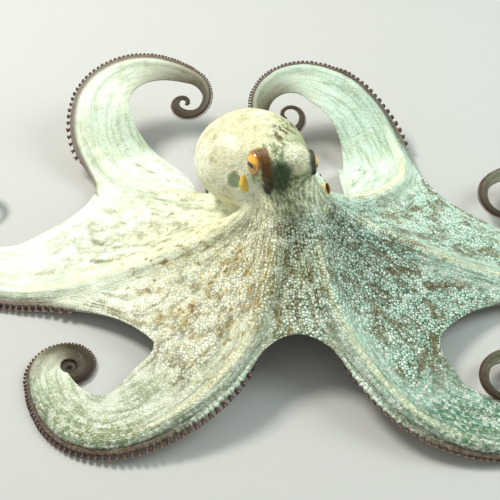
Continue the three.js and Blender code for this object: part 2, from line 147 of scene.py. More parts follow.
def frame_at(arm, s):
    """Ways at stations s: along the arm, level to its left, and its section's side and back."""
    s = np.asarray(s, float)
    near = np.clip(s, 2, arm["length"] - 2)
    along = unit(point_at(arm, near + 2) - point_at(arm, near - 2))
    lean = arm["lift"][0] * ramp(s, *arm["lift"][2:])
    plane = unit(np.stack([0 * lean, -lean, 1 + 0 * lean], -1))
    left = unit(np.cross(plane, along))
    back = unit(np.cross(along, left))
    grows = [share * arm["length"] for share in ROLL_SPAN]
    roll = (-arm["sense"] * math.radians(ROLL_MOST) * ramp(s, *grows))[..., None]
    side = left * np.cos(roll) - back * np.sin(roll)
    dorsal = back * np.cos(roll) + left * np.sin(roll)
    return along, left, side, dorsal


def on_floor(points, level=0.0):
    points[..., 2] = np.maximum(points[..., 2], level)
    return points


def section_point(arm, s, angle):
    """Points of the arm's surface: angle 0 is its left side, 90 its back, 180 its right side."""
    _, _, side, dorsal = frame_at(arm, s)
    half = (width_at(arm, s) / 2)[..., None]
    angle = np.radians(np.broadcast_to(angle, np.shape(s)))[..., None]
    deep = np.where(np.sin(angle) > 0, ARM_DEPTH, SOLE_DEPTH) * half
    point = point_at(arm, s) + side * half * np.cos(angle) + dorsal * deep * np.sin(angle)
    return on_floor(point)


# ---- Web ---------------------------------------------------------------------------------
# A thin muscular sheet joins neighbouring arms as far as a round notch, and runs on past it along
# both of them as a narrowing fin, wide on the inside of each curl. On the outside the fin is a
# thick lip of flesh that carries the outer row of suckers.
WEB_THICK = 2.2
FIN_THICK = 1.2
WEB_SAG = 0.06  # how far a web hangs between its arms, as a share of its width
FIN_START = (40, 180)  # where the fins grow to their full width
FIN_END = 0.84  # share of the arm's length where they end
FIN_RIM = 0.1  # least width of a fin, as a share of the arm's
FIN_DROOP = 0.06  # slope of a free fin
FIN_TURN = 60  # length past the notch over which the fin turns level
FIN_CLEAR = 0.6  # least room under its edge
FIN_ROOT = 0.2  # most thickness at the root, as a share of the arm's width
NOTCH_ROUND = (12, 0.55)  # length of the notch's curve: fixed, and a share of the web's reach
LIP_THICK = 0.13  # half the lip's thickness, as a share of the arm's width
LIP_SHARE = 0.12  # how much narrower the fin is for the lip, as a share of the arm's width
LIP_LEAST = 0.3
LIP_START = 30  # length past the notch over which the lip grows
COIL_GAP = (0.68, 0.66)  # gap between a coil's turns: share of its radius, less share of the width
# Two coils are filled by their fins: with what share of the gap, and between which stations from
# the coil's start that grows.
COIL_FILL = dict(r1=(0.95, -20, 30), r3=(0.75, 40, 75))
# Each web from the one after l1 to the one after r1: how far along its two arms it is joined, and
# the place of its notch between them.
NOTCHES = [(138, 138), (172, 150), (50, 50), (50, 50), (50, 50), (178, 185), (138, 138), (80, 80)]
SHARES = [0.5, 0.8, 0.5, 0.5, 0.5, 0.16, 0.55, 0.5]
COUNT = len(ARMS)


def after(i):
    return (i + 1) % COUNT


def web_on(i, hand):
    return i if hand == LEFT else (i - 1) % COUNT


def notch_on(i, hand):
    return NOTCHES[web_on(i, hand)][0 if hand == LEFT else 1]


def root_at(i, hand, s):
    return section_point(ARMS[i], s, 0 if hand == LEFT else 180)


def web_point(i, s_from, s_to, v):
    """The web's middle surface between arm i and the next, and its normal."""
    s_from, s_to, v = np.broadcast_arrays(np.asarray(s_from, float), np.asarray(s_to, float), v)
    a, b = root_at(i, LEFT, s_from), root_at(after(i), RIGHT, s_to)
    normal_a = frame_at(ARMS[i], s_from)[3]
    normal_b = frame_at(ARMS[after(i)], s_to)[3]
    v = v[..., None]
    normal = unit(lerp(normal_a, normal_b, v))
    out = (s_from / NOTCHES[i][0] + s_to / NOTCHES[i][1])[..., None] / 2
    sag = 4 * v * (1 - v) * WEB_SAG * np.linalg.norm(b - a, axis=-1, keepdims=True) * (1 - out**2)
    return on_floor(lerp(a, b, v) - normal * sag, WEB_THICK), normal


def lip_at(i, hand, s):
    """Half the thickness of the outer lip."""
    grown = ramp(s, notch_on(i, hand), notch_on(i, hand) + LIP_START)
    return LIP_THICK * width_at(ARMS[i], s) * grown * (hand != ARMS[i]["sense"])


def coil_fill(arm, s):
    """Width of the fin that fills a coil."""
    gap = COIL_GAP[0] * coil_radius(arm, s) - COIL_GAP[1] * width_at(arm, s)
    share, begins, full = COIL_FILL.get(arm["name"], (0, 0, 1))
    return share * gap * ramp(s - arm["coil"][0], begins, full)


def fin_edge(i, hand, s):
    """The free edge past the notch, and its normal: it draws in to the fin's own width."""
    arm, web = ARMS[i], web_on(i, hand)
    notch = float(notch_on(i, hand))
    middle, middle_normal = web_point(web, *map(float, NOTCHES[web]), SHARES[web])
    reach = middle - root_at(i, hand, np.array(notch))
    widest = np.linalg.norm(reach)
    full = arm["fins"][0 if hand == arm["sense"] else 1]
    grown = ramp(s, *arm.get("fin_start", FIN_START))
    left_over = np.maximum(0, 1 - (s / (FIN_END * arm["length"])) ** 2)
    own = full * grown * left_over + FIN_RIM * width_at(arm, s)
    if hand == arm["sense"]:
        own = np.maximum(own, coil_fill(arm, s))
    else:
        own = np.maximum(own - LIP_SHARE * width_at(arm, s), LIP_LEAST)
    draw = np.clip((s - notch) / (NOTCH_ROUND[0] + NOTCH_ROUND[1] * widest), 0, 1)
    width = own + (widest - own) * (1 - np.sqrt(1 - (1 - draw) ** 2))
    _, left, _, dorsal = frame_at(arm, s)
    turn = ramp(s, notch, notch + FIN_TURN)[..., None]
    out = unit(left * hand - UP * FIN_DROOP)
    way = unit(lerp(reach / widest, out, turn))
    edge = root_at(i, hand, s) + way * width[..., None]
    low = np.maximum(FIN_THICK + FIN_CLEAR, 1.1 * lip_at(i, hand, s))
    return on_floor(edge, low), unit(lerp(middle_normal, dorsal, turn))


# ---- Skin of arms and webs ---------------------------------------------------------------
# One skin covers the whole animal with no seam. It is laid as rows across each arm, from the
# middle of the web on one side to the middle of the web on the other, over the back and under
# the sole. Neighbouring arms share the rows' ends as far as the notch between them.
WEB_ROWS = [92, 112, 33, 33, 33, 122, 92, 53]  # rows from the ring to each notch
TOP_COLUMNS = 42  # from an arm's crest to the middle of the web or the free edge
SOLE_COLUMNS = 24
ROW_STEP = 1.45
ROW_SPARE = 1.25  # more rows past a notch, because they lie closer at both ends of that run
NOTCH_ROWS = 6  # rows over which their step grows from nothing at the notch
TIP_CROWD = 0.45  # share by which the step has shrunk at the tip
BACK_ARC = 1.4  # round an arm's back from crest to root, in half widths
CREST_SHARE = 5  # extra share of the columns that an arm's back gets, in millimetres
MIDDLE_THICK = 0.9  # thickness at the middle of the web, as a share of that at its root
ACROSS_WEB = 12  # millimetres out on the web that count as one in the across field

# The rows lie evenly as far as the nearer notch, closer just past a notch and towards the tip.
rows_at = []
for i, arm in enumerate(ARMS):
    knots = sorted({(WEB_ROWS[web_on(i, hand)], notch_on(i, hand)) for hand in (LEFT, RIGHT)})
    stations = np.linspace(0, knots[0][1], knots[0][0] + 1)
    if len(knots) > 1:
        count = knots[1][0] - knots[0][0]
        steps = 1 - np.exp(-np.arange(1, count + 1) / NOTCH_ROWS)
        stations = np.append(stations, lerp(*[k[1] for k in knots], np.cumsum(steps) / steps.sum()))
    rest = arm["length"] - stations[-1]
    count = round(rest / ROW_STEP * ROW_SPARE)
    k = np.arange(1, count + 1)
    steps = (1 - np.exp(-k / NOTCH_ROWS)) * (1 - TIP_CROWD * (k / count) ** 2)
    rows_at.append(np.append(stations, stations[-1] + rest * np.cumsum(steps) / steps.sum()))

# Of each point: the arm it lies by, with the part of the way to the next; its station along that
# arm; how far across it lies, in shares of the back and then out on the web, and aside, the same
# in millimetres; lateral, from -1 at its right edge to 1 at its left; under, 1 below; edge, how
# far it is from a free edge; and body, from 0 at the ring to 1 at the far end of the mantle.
FIELDS = ("arm", "station", "across", "aside", "lateral", "under", "edge", "body")
points, fields, faces = [], {}, []
total = 0


def lay_points(block, **values):
    """Adds a block of points, with what is known about each, and returns their numbers."""
    global total
    points.append(block.reshape(-1, 3))
    for name in FIELDS:
        value = np.broadcast_to(values.get(name, 0.0), block.shape[:-1]).astype(float)
        fields.setdefault(name, []).append(value.ravel())
    numbers = np.arange(total, total + block[..., 0].size).reshape(block.shape[:-1])
    total += numbers.size
    return numbers


def lay_quads(a, b, c, d):
    faces.append(np.stack([np.ravel(x) for x in (a, b, c, d)], -1))


def lay_grid(numbers, flip=False):
    corners = numbers[:-1, :-1], numbers[:-1, 1:], numbers[1:, 1:], numbers[1:, :-1]
    lay_quads(*(corners[::-1] if flip else corners))


def half_strip(i, hand, columns, upper):
    """Points from an arm's crest (or the middle of its sole) out to the web's middle or edge."""
    arm, s = ARMS[i], rows_at[i]
    web = web_on(i, hand)
    facing = 1 if upper else -1
    joined = WEB_ROWS[web] + 1
    other = rows_at[after(i) if hand == LEFT else (i - 1) % COUNT][:joined]
    _, _, side, dorsal = frame_at(arm, s)
    half = width_at(arm, s) / 2
    root = root_at(i, hand, s)
    thick = np.maximum(np.minimum(WEB_THICK / 2, FIN_ROOT * 2 * half), lip_at(i, hand, s))
    thin = np.minimum(FIN_THICK / 2, thick)
    out = ramp(np.arange(len(s)) / WEB_ROWS[web], 0, 1)
    thin = np.maximum(thin, lip_at(i, hand, s))
    at_edge = np.where(out < 1, lerp(MIDDLE_THICK * thick, thin, out), thin)
    edge, normal = fin_edge(i, hand, s)
    share = SHARES[web] if hand == LEFT else 1 - SHARES[web]
    span = np.linalg.norm(edge - root, axis=-1)
    if hand == LEFT:
        middle, _ = web_point(web, s[:joined], other, SHARES[web])
    else:
        middle, _ = web_point(web, other, s[:joined], SHARES[web])
    span[:joined] = np.linalg.norm(middle - root[:joined], axis=-1)
    deep = ARM_DEPTH if upper else SOLE_DEPTH
    start = np.arcsin(np.clip(thick / (deep * half), 0, 0.9))
    arc = BACK_ARC * half + CREST_SHARE
    on_back = (arc / (arc + span))[:, None]
    c = np.linspace(0, 1, columns + 1)[None, :]
    angle = lerp(math.pi / 2, start[:, None], np.clip(c / on_back, 0, 1))[..., None]
    u = np.clip((c - on_back) / np.maximum(1 - on_back, 1e-6), 0, 1)[..., None]
    outward, upward = hand * side[:, None], facing * dorsal[:, None] * deep
    rounded = half[:, None, None] * (outward * np.cos(angle) + upward * np.sin(angle))
    on_arm = on_floor(point_at(arm, s)[:, None] + rounded)
    flat = lerp(root[:, None], edge[:, None], u)
    tilt = unit(lerp(dorsal[:, None], normal[:, None], u))
    v = u[:joined, :, 0] * share if hand == LEFT else 1 - u[:joined, :, 0] * share
    mine, others = s[:joined, None], other[:, None]
    pair = (mine, others) if hand == LEFT else (others, mine)
    flat[:joined], tilt[:joined] = web_point(web, *pair, v)
    lift = lerp(thick[:, None, None], at_edge[:, None, None], u)
    sheet = flat + tilt * lift * facing
    inside = c[..., None] <= on_back[..., None]
    block = np.where(inside, on_arm, sheet)
    across = np.where(inside[..., 0], c / on_back, 1 + u[..., 0] * span[:, None] / ACROSS_WEB)
    station = np.broadcast_to(s[:, None], across.shape).copy()
    station[:joined] = lerp(mine, others, u[:joined, :, 0] * share)
    free = (1 - u[..., 0]) * span[:, None] + np.clip(1 - c / on_back, 0, 1) * arc[:, None]
    inner = np.maximum(0, notch_on(i, hand) - station)
    aside = np.minimum(c / on_back, 1) * arc[:, None] + u[..., 0] * span[:, None]
    known = dict(arm=i + hand * 0.5 * c, station=station, across=across, lateral=hand * c,
                 aside=aside, under=0 if upper else 1, edge=free + inner)
    return block, known, (edge, normal, thin, aside[:, -1], joined - 1)


def full_strip(i, columns, upper):
    """Lays both half strips of an arm as one grid, and returns it with the edges of its fins."""
    left, left_known, left_rim = half_strip(i, LEFT, columns, upper)
    right, right_known, right_rim = half_strip(i, RIGHT, columns, upper)
    block = np.concatenate([left[:, :0:-1], right], 1)
    known = {}
    for name in left_known:
        sides = [np.broadcast_to(k[name], left.shape[:2]) for k in (left_known, right_known)]
        known[name] = np.concatenate([sides[0][:, :0:-1], sides[1]], 1)
    return lay_points(block, **known), (left_rim, right_rim)


tops, soles, rims = [], [], []
for i in range(COUNT):
    top, arm_rims = full_strip(i, TOP_COLUMNS, True)
    sole, _ = full_strip(i, SOLE_COLUMNS, False)
    tops.append(top)
    soles.append(sole)
    rims.append(arm_rims)
# Neighbours share the middle of the web between them.
for i in range(COUNT):
    for strips in (tops, soles):
        strips[after(i)][: WEB_ROWS[i] + 1, -1] = strips[i][: WEB_ROWS[i] + 1, 0]
for top, sole in zip(tops, soles):
    lay_grid(top)
    lay_grid(sole, flip=True)

# The free edges are rounded off by three more rows of points.
ROUND_OFF = (50, 0, -50)  # degrees over the edge
ROUND_OUT = 0.75  # how far out they stand, in half thicknesses
RIM_CLEAR = 0.3
rim_rows = {}
for i, arm in enumerate(ARMS):
    for hand, (edge, normal, thin, aside, start) in zip((LEFT, RIGHT), rims[i]):
        s = rows_at[i][start:]
        outward = unit(edge - root_at(i, hand, rows_at[i]))[start:]
        rows = []
        for turn in ROUND_OFF:
            out, up = math.cos(math.radians(turn)), math.sin(math.radians(turn))
            bulge = outward * ROUND_OUT * out + normal[start:] * up
            block = on_floor(edge[start:] + bulge * thin[start:, None], RIM_CLEAR)
            rows.append(lay_points(block, arm=i + hand * 0.5, station=s, across=3, aside=aside[start:],
                                   lateral=hand, under=0.5 - turn / 200))
        rim_rows[i, hand] = np.stack(rows, 1)
for i in range(COUNT):
    rim_rows[after(i), RIGHT][0] = rim_rows[i, LEFT][0]
for i in range(COUNT):
    for hand in (LEFT, RIGHT):
        start = WEB_ROWS[web_on(i, hand)]
        column = 0 if hand == LEFT else -1
        rim = np.column_stack([tops[i][start:, column], rim_rows[i, hand], soles[i][start:, column]])
        lay_grid(rim, flip=hand == LEFT)


def around(ring, new):
    lay_quads(ring, np.roll(ring, -1), np.roll(new, -1), new)


def fan(ring, apex):
    """Triangles from a ring of points to one, written as quads with a doubled corner."""
    last = np.full(len(ring), apex[0])
    lay_quads(ring, np.roll(ring, -1), last, last)


def close_end(loop, centre, toward, rounds, **known):
    """Closes a loop of points with a round end that bulges by toward."""
    all_points = np.concatenate(points)
    ring = loop
    start = all_points[loop]
    for step in range(1, rounds):
        angle = 0.5 * math.pi * step / rounds
        block = centre + (start - centre) * math.cos(angle) + toward * math.sin(angle)
        new = lay_points(block, **known)
        around(ring, new)
        ring = new
    fan(ring, lay_points((centre + toward)[None], **known))


for i, arm in enumerate(ARMS):
    loop = np.concatenate([
        tops[i][-1], rim_rows[i, RIGHT][-1], soles[i][-1, ::-1], rim_rows[i, LEFT][-1, ::-1],
    ])
    last = np.array(float(arm["length"]))
    end, along = point_at(arm, last), frame_at(arm, last)[0]
    close_end(loop, end, along * TIP_WIDTH / 2, 3, arm=i, station=arm["length"], across=0.5, aside=1)

# ---- Head and mantle ---------------------------------------------------------------------
# The skin goes on up from the ring of the arms over the neck, the head with its two eye mounds
# and the bag of the mantle behind it. The body is a set of turned ellipsoids that run into each
# other, and the skin is where rays from a hub inside them all leave the last one.
HUB = np.array([-12.0, 6.0, 108.0])
FORMS = [
    dict(centre=(-35, 44, 92), radii=(58, 48, 43), yaw=118, pitch=-22),  # mantle
    dict(centre=(-3, -2, 98), radii=(22, 24, 26), yaw=-70, pitch=0),  # neck
    dict(centre=(-10, -6, 129), radii=(15, 24, 17), yaw=-80, pitch=0),  # brow
    dict(centre=(-20.5, -8, 133), radii=(14, 14, 14), yaw=0, pitch=0),  # mound of the right eye
    dict(centre=(1.5, -8, 131), radii=(14, 14, 14), yaw=0, pitch=0),  # mound of the left eye
    dict(centre=(-1, 1, 75), radii=(35, 35, 15), yaw=0, pitch=0),  # crown of the arms
]
FOLD = 3.0  # how softly one form runs into the next
POLE = unit(np.array([-0.3, 0.57, 0.77]))  # the way from the hub to where the skin closes
RIDGE_FADE = 20  # degrees up the neck over which the ridges of the arms fade
CROWN_LIFT = 4
BODY_ROWS = 300
BODY_CROWD = 1.1  # power by which the rows are closer at the neck
BODY_STEP = 0.66  # between rows on the neck
BODY_STATION = 60  # station for each radian up the body, which counts down from the ring
REACH = (20.0, 130.0)  # the skin lies between these distances from the hub
HALVINGS = 15  # of that range, to find it
DEEP_INSIDE = 200  # for the edge field, far from any free edge


def outside(form, where):
    """About how far a point is outside one form, below zero inside it."""
    yaw, pitch = math.radians(form["yaw"]), math.radians(form["pitch"])
    x_way = np.array([math.cos(yaw) * math.cos(pitch), math.sin(yaw) * math.cos(pitch), math.sin(pitch)])
    y_way = np.array([-math.sin(yaw), math.cos(yaw), 0])
    axes = np.stack([x_way, y_way, np.cross(x_way, y_way)])
    radii = np.array(form["radii"], float)
    local = (where - np.array(form["centre"], float)) @ axes.T / radii
    size = np.linalg.norm(local, axis=-1)
    return size * (size - 1) / np.linalg.norm(local / radii, axis=-1)


def outside_body(where):
    """The same for all the forms together, with soft folds between them."""
    return -FOLD * np.log(sum(np.exp(-outside(form, where) / FOLD) for form in FORMS))


def body_reach(ways):
    """How far the skin is from the hub along each way."""
    near = np.full(ways.shape[:-1], REACH[0])
    far = np.full(ways.shape[:-1], REACH[1])
    for _ in range(HALVINGS):
        middle = (near + far) / 2
        out = outside_body(HUB + ways * middle[..., None]) > 0
        far = np.where(out, middle, far)
        near = np.where(out, near, middle)
    return near


crown = np.concatenate([top[0, -2::-1] for top in tops])
flat_points = np.concatenate(points)
crown_points = flat_points[crown]
turn = np.degrees(np.arctan2(crown_points[:, 1], crown_points[:, 0]))
rises = np.interp(turn, [arm["ring"] for arm in ARMS], [arm["rise"] for arm in ARMS], period=360)
level = unit(np.stack([crown_points[:, 0], crown_points[:, 1], rises + CROWN_LIFT], -1) - HUB)
spread = np.arccos(level @ POLE)
ridge = crown_points - (HUB + level * body_reach(level)[:, None])
t = (np.arange(1, BODY_ROWS) / BODY_ROWS) ** BODY_CROWD
swing = t[:, None] * spread[None]
ways = unit(level[None] * np.sin(spread[None] - swing)[..., None] + POLE * np.sin(swing)[..., None])
fade = 1 - smooth(swing / math.radians(RIDGE_FADE))
body_block = HUB + ways * body_reach(ways)[..., None] + ridge[None] * fade[..., None]
arm_of = np.concatenate(fields["arm"])[crown]
body = lay_points(body_block, arm=arm_of, station=-swing * BODY_STATION, edge=DEEP_INSIDE,
                  body=t[:, None],
                  lateral=np.concatenate(fields["lateral"])[crown],
                  across=np.concatenate(fields["across"])[crown],
                  aside=np.concatenate(fields["aside"])[crown])
around(crown, body[0])
for row in range(len(body) - 1):
    around(body[row], body[row + 1])
close_end(body[-1], body_block[-1].mean(0), np.zeros(3), 2, body=1, edge=DEEP_INSIDE)

# ---- Mouth -------------------------------------------------------------------------------
# The underside closes round the mouth, a puckered ring of muscle in the middle of the arms. The
# beak lies behind it and doesn't show, because the mouth is shut.
MOUTH = np.array([0.0, 0.0, 60.0])
MOUTH_RINGS = 14
MOUTH_CROWD = 0.8  # power by which the rings lie further apart at the outside
PUCKERS = 20
PUCKER_DEPTH = 3.0
under_ring = np.concatenate([sole[0, -2::-1] for sole in soles])[::-1]
under_points = flat_points[under_ring]
ring = under_ring
waves = np.cos(np.linspace(0, 2 * math.pi * PUCKERS, len(ring)))
for step in range(1, MOUTH_RINGS):
    t = step / MOUTH_RINGS
    pucker = PUCKER_DEPTH * math.sin(math.pi * min(1, t * 1.6)) * (0.6 + 0.4 * waves)
    block = lerp(under_points, MOUTH, t**MOUTH_CROWD)
    block[:, 2] -= pucker * t
    new = lay_points(block, under=1, edge=DEEP_INSIDE)
    around(ring, new)
    ring = new
fan(ring, lay_points((MOUTH + UP * PUCKER_DEPTH)[None], under=1, edge=DEEP_INSIDE))

# ---- Eyelids -----------------------------------------------------------------------------
# The skin of the two mounds folds over the eyes as a thick soft ring of lid, with fine creases
# round it. Inside the opening it lies under the ball, which stands free in its ring.
EYE_RADIUS = 10.5
# Of each eye: its centre; open, the way the opening faces; pupil, the way the eye looks; and wide,
# half the angle of the opening.
EYES = [
    dict(name="eye_right", centre=(-28, -10, 133.5), open=(-0.86, -0.42, 0.22),
         pupil=(-0.78, -0.58, 0.2), wide=48),
    dict(name="eye_left", centre=(8.5, -9, 131.5), open=(1, 0.12, 0.05),
         pupil=(0.93, -0.3, 0.1), wide=42),
]
# Distances of the skin from the middle of the ball, in its own radii: under it, at the lid's thin
# lip, on the lid's ridge, and the least outside the opening.
LID_DEEP = 0.78
LID_LIP = 1.035
LID_TOP = 1.13
LID_CLEAR = 1.03
CREASE = 0.009


def around_eye(eye, where):
    """Distance from the eye's centre, angle from the middle of its opening, and the way there."""
    away = where - np.array(eye["centre"], float)
    reach = np.linalg.norm(away, axis=-1)
    way = away / reach[:, None]
    axis = unit(np.array(eye["open"]))
    return reach, np.degrees(np.arccos(np.clip(way @ axis, -1, 1))), way


def fold_lids(eye, where):
    """Lays the skin under the eyeball inside the opening and over it in a ring outside."""
    reach, angle, way = around_eye(eye, where)
    out = angle - eye["wide"] - 4 * way[:, 2]
    ball = lerp(LID_DEEP, LID_LIP, ramp(out, -5, 1)) + (LID_TOP - LID_LIP) * ramp(out, 1, 13)
    waver = out / 9 + 0.12 * np.sin(way[:, 1] * 9) + 0.1 * np.sin(way[:, 2] * 14)
    crease = CREASE * np.cos(2 * math.pi * waver) * ramp(out, 3, 12) * (1 - ramp(out, 40, 75))
    lid = EYE_RADIUS * (ball + crease)
    given = reach + EYE_RADIUS * crease
    new = lerp(lid, given, np.maximum(ramp(out, 14, 52), ramp(reach / EYE_RADIUS, 1.3, 1.75)))
    new = np.where(out > 1, np.maximum(new, LID_CLEAR * EYE_RADIUS), new)
    near = (angle < 150) & (reach < 2 * EYE_RADIUS)
    return np.where(near[:, None], np.array(eye["centre"]) + way * new[:, None], where)


# ---- Mantle opening ------------------------------------------------------------------------
# Low on the mantle's front the skin opens into the gill cavity, a grey-green hollow with a soft
# raised rim. On the other side of the neck the skin is drawn in where the funnel leaves it.
OPENING = dict(centre=(-48.5, -4, 108), size=(6.4, 7.8), depth=3.4, rim=0.7)  # half its size
FUNNEL = dict(base=(6, 14, 76), mouth=(30, 9, 89), bore=4.6)  # bore is its inner radius
FUNNEL_DRAW = (10, 16)  # how far the skin is drawn in, and down to where below the mouth


def slope_at(where):
    """The way straight out of the body."""
    where = np.array(where, float)
    steps = np.eye(3) * 0.5
    return unit(outside_body(where + steps) - outside_body(where - steps))


def around_opening(where):
    """Elliptical distance from the middle of the opening, and the way out of the skin."""
    out = slope_at(OPENING["centre"])
    across = unit(np.cross(UP, out))
    above = np.cross(out, across)
    away = where - np.array(OPENING["centre"], float)
    u, v, depth = away @ across, away @ above, away @ out
    opening = np.hypot(u / OPENING["size"][0], v / OPENING["size"][1])
    return opening + 5 * ramp(np.abs(depth), 12, 16), out


def open_mantle(where):
    """Presses the hollow into the skin, and draws it down inside the funnel's tube."""
    opening, out = around_opening(where)
    push = -OPENING["depth"] * (1 - ramp(opening, 0.55, 1.0))
    push += OPENING["rim"] * np.exp(-(((opening - 1.2) / 0.22) ** 2))
    where = where + out * push[:, None]
    axis = unit(np.array(FUNNEL["mouth"], float) - np.array(FUNNEL["base"]))
    away = where - np.array(FUNNEL["mouth"], float)
    height = away @ axis
    aside = np.linalg.norm(away - height[:, None] * axis, axis=1)
    inside = (1 - ramp(aside / FUNNEL["bore"], 0.85, 1.12)) * (height > -FUNNEL_DRAW[1])
    return where - axis * (FUNNEL_DRAW[0] * inside)[:, None]


# ---- Skin: one mesh ----------------------------------------------------------------------
# The rows become one closed mesh, eased where arms and webs meet so that the muscle flows into
# the sheet, and then given the folds and lumps of living skin.
verts = np.concatenate(points)

# The arms' ridges run up into the neck in one sweep: each line of points up an arm and over the
# ring is eased along its length, less and less towards its two ends.
ROWS_UP, ROWS_OUT = 125, 33
SWEEP_REACH = 16
ENDS_SHARE = 2.6
sweep = [body[row] for row in range(ROWS_UP - 1, -1, -1)] + [crown]
sweep += [np.concatenate([top[row, -2::-1] for top in tops]) for row in range(1, ROWS_OUT)]
sweep = np.stack(sweep)
place = np.concatenate([-np.arange(ROWS_UP, 0, -1) * BODY_STEP, np.arange(ROWS_OUT) * ROW_STEP])
reach = np.minimum(place - place[0], place[-1] - place) / ENDS_SHARE + 1e-3
reach = np.minimum(reach, SWEEP_REACH)
blend = np.exp(-0.5 * ((place[None] - place[:, None]) / reach[:, None]) ** 2)
blend *= np.gradient(place)[None]
blend /= blend.sum(1, keepdims=True)
blend[[0, -1]] = np.eye(len(place))[[0, -1]]
drift = place - blend @ place
line = verts[sweep]
slope = np.gradient(line, place, axis=0)
verts[sweep] = np.tensordot(blend, line, 1) + drift[:, None, None] * slope

# Where neighbours share points, only one copy is kept. The points are numbered anew.
known = {name: np.concatenate(values) for name, values in fields.items()}
quads = np.concatenate(faces)
used, quads = np.unique(quads, return_inverse=True)
quads = quads.reshape(-1, 4)
verts = verts[used]
known = {name: value[used] for name, value in known.items()}
edges = np.concatenate([quads[:, [k, (k + 1) % 4]] for k in range(4)])
edges = edges[edges[:, 0] != edges[:, 1]]
edges = np.unique(np.sort(edges, 1), axis=0)
degree = np.bincount(edges.ravel(), minlength=len(verts))


def eased(values, weight, times):
    """Values drawn towards the mean of their neighbours, by weight, so many times."""
    values = values.copy()
    for _ in range(times):
        for axis in range(values.shape[1]):
            column = values[:, axis]
            total = np.bincount(edges[:, 0], column[edges[:, 1]], len(column))
            total += np.bincount(edges[:, 1], column[edges[:, 0]], len(column))
            values[:, axis] = column + weight * (total / degree - column)
    return values


def normals_of(verts):
    a = verts[quads[:, 2]] - verts[quads[:, 0]]
    b = verts[quads[:, 3]] - verts[quads[:, 1]]
    normal = np.cross(a, b)
    total = np.zeros_like(verts)
    for corner in range(4):
        for axis in range(3):
            total[:, axis] += np.bincount(quads[:, corner], normal[:, axis], len(verts))
    return unit(total + 1e-12)


# The creases between arms and webs are eased, and the broad parts more than the thin ones. The
# free edges keep their form.
girth = np.interp(known["station"], [0, 250, 480], [26, 14, 2])
hold = ramp(known["edge"], 1.5, 7) * (1 - ramp(known["under"], 0.4, 0.6) * 0.4)
verts = eased(verts, 0.5 * hold, 14)
verts = eased(verts, 0.5 * hold * ramp(girth, 6, 14) * ramp(known["edge"], 4, 16), 45)
sole = (known["under"] > 0.6) & (known["across"] < 1)
clear = np.where(sole, 0.9, 0.05)  # the soles leave room for the cups under them
on_floor(verts, clear)
for eye in EYES:
    verts = fold_lids(eye, verts)
verts = open_mantle(verts)

# The frame's origin is under the middle of the whole part. The right eye says where that is.
right_low, right_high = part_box("eye_right")
SHIFT = np.array(right_low + right_high) / 2 / MM - np.array(EYES[0]["centre"])


def make_piece(name, verts, faces):
    """A smooth mesh object from millimetre points, with quads (or triangles written as quads)."""
    mesh = bpy.data.meshes.new(name)
    triangle = faces[:, 2] == faces[:, 3]
    sizes = np.where(triangle, 3, 4)
    loops = faces.ravel()[np.stack([np.ones_like(triangle)] * 3 + [~triangle], -1).ravel()]
    mesh.vertices.add(len(verts))
    mesh.vertices.foreach_set("co", ((verts + SHIFT) * MM).astype(np.float32).ravel())
    mesh.loops.add(len(loops))
    mesh.loops.foreach_set("vertex_index", loops.astype(np.int32))
    mesh.polygons.add(len(faces))
    starts = np.concatenate([[0], np.cumsum(sizes)[:-1]])
    mesh.polygons.foreach_set("loop_start", starts.astype(np.int32))
    mesh.polygons.foreach_set("loop_total", sizes.astype(np.int32))
    mesh.update(calc_edges=True)
    mesh.validate()
    mesh.shade_smooth()
    piece = bpy.data.objects.new(name, mesh)
    bpy.context.scene.collection.objects.link(piece)
    return piece


def give(piece, name, values):
    """Stores one number for each vertex, for the material to read."""
    attribute = piece.data.attributes.new(name, "FLOAT", "POINT")
    attribute.data.foreach_set("value", np.asarray(values, np.float32))


def lumps(where, cell, seed):
    """Smooth noise between -1 and 1 on a lattice of random values, cell millimetres apart."""
    side = 32
    grid = np.random.default_rng(seed).uniform(-1, 1, (side, side, side))
    place = where / cell + 1000
    base = np.floor(place).astype(int)
    part = smooth(place - base)
    total = np.zeros(len(where))
    for corner in np.ndindex(2, 2, 2):
        share = np.prod(np.where(corner, part, 1 - part), axis=1)
        total += share * grid[tuple(((base + corner) % side).T)]
    return total


# A small wart stands over the right eye.
WART = (-31, -5, 145)
WART_HEIGHT = 1.7
wart = 1 - ramp(np.linalg.norm(verts - np.array(WART, float), axis=1), 0.5, 5.5)
verts += normals_of(verts) * (WART_HEIGHT * wart)[:, None]

# Folds run outward in the webs, and the whole skin is softly lumpy.
span_place = np.stack([known["arm"] * 7, known["station"] / 42, known["station"] * 0], -1)
fold_phase = known["arm"] * 62 + 5.5 * lumps(span_place, 1, 3)
in_web = ramp(known["across"], 1.05, 2.2) * ramp(known["edge"], 3, 14) * ramp(known["station"], 18, 60)
fold_strength = in_web * (1 - ramp(known["station"], 150, 240)) * (0.5 + 0.5 * lumps(span_place, 0.7, 4))
folds = np.sin(fold_phase) * fold_strength
relief = 0.5 * folds + 0.42 * lumps(verts, 9, 5) + 0.2 * lumps(verts, 4, 6)
calm = ramp(known["edge"], 0.5, 5) * ramp(girth, 3, 9)
far_off = [around_eye(eye, verts) for eye in EYES]
# Degrees from the edge of each eye's opening, and far more away from the mound.
right_eye, left_eye = (
    angle - eye["wide"] + 200 * (reach > 1.6 * EYE_RADIUS)
    for eye, (reach, angle, _) in zip(EYES, far_off)
)
calm *= ramp(np.minimum(right_eye, left_eye), 0, 25)
verts += normals_of(verts) * (relief * calm)[:, None]
on_floor(verts, clear)

skin = make_piece("skin", verts, quads)

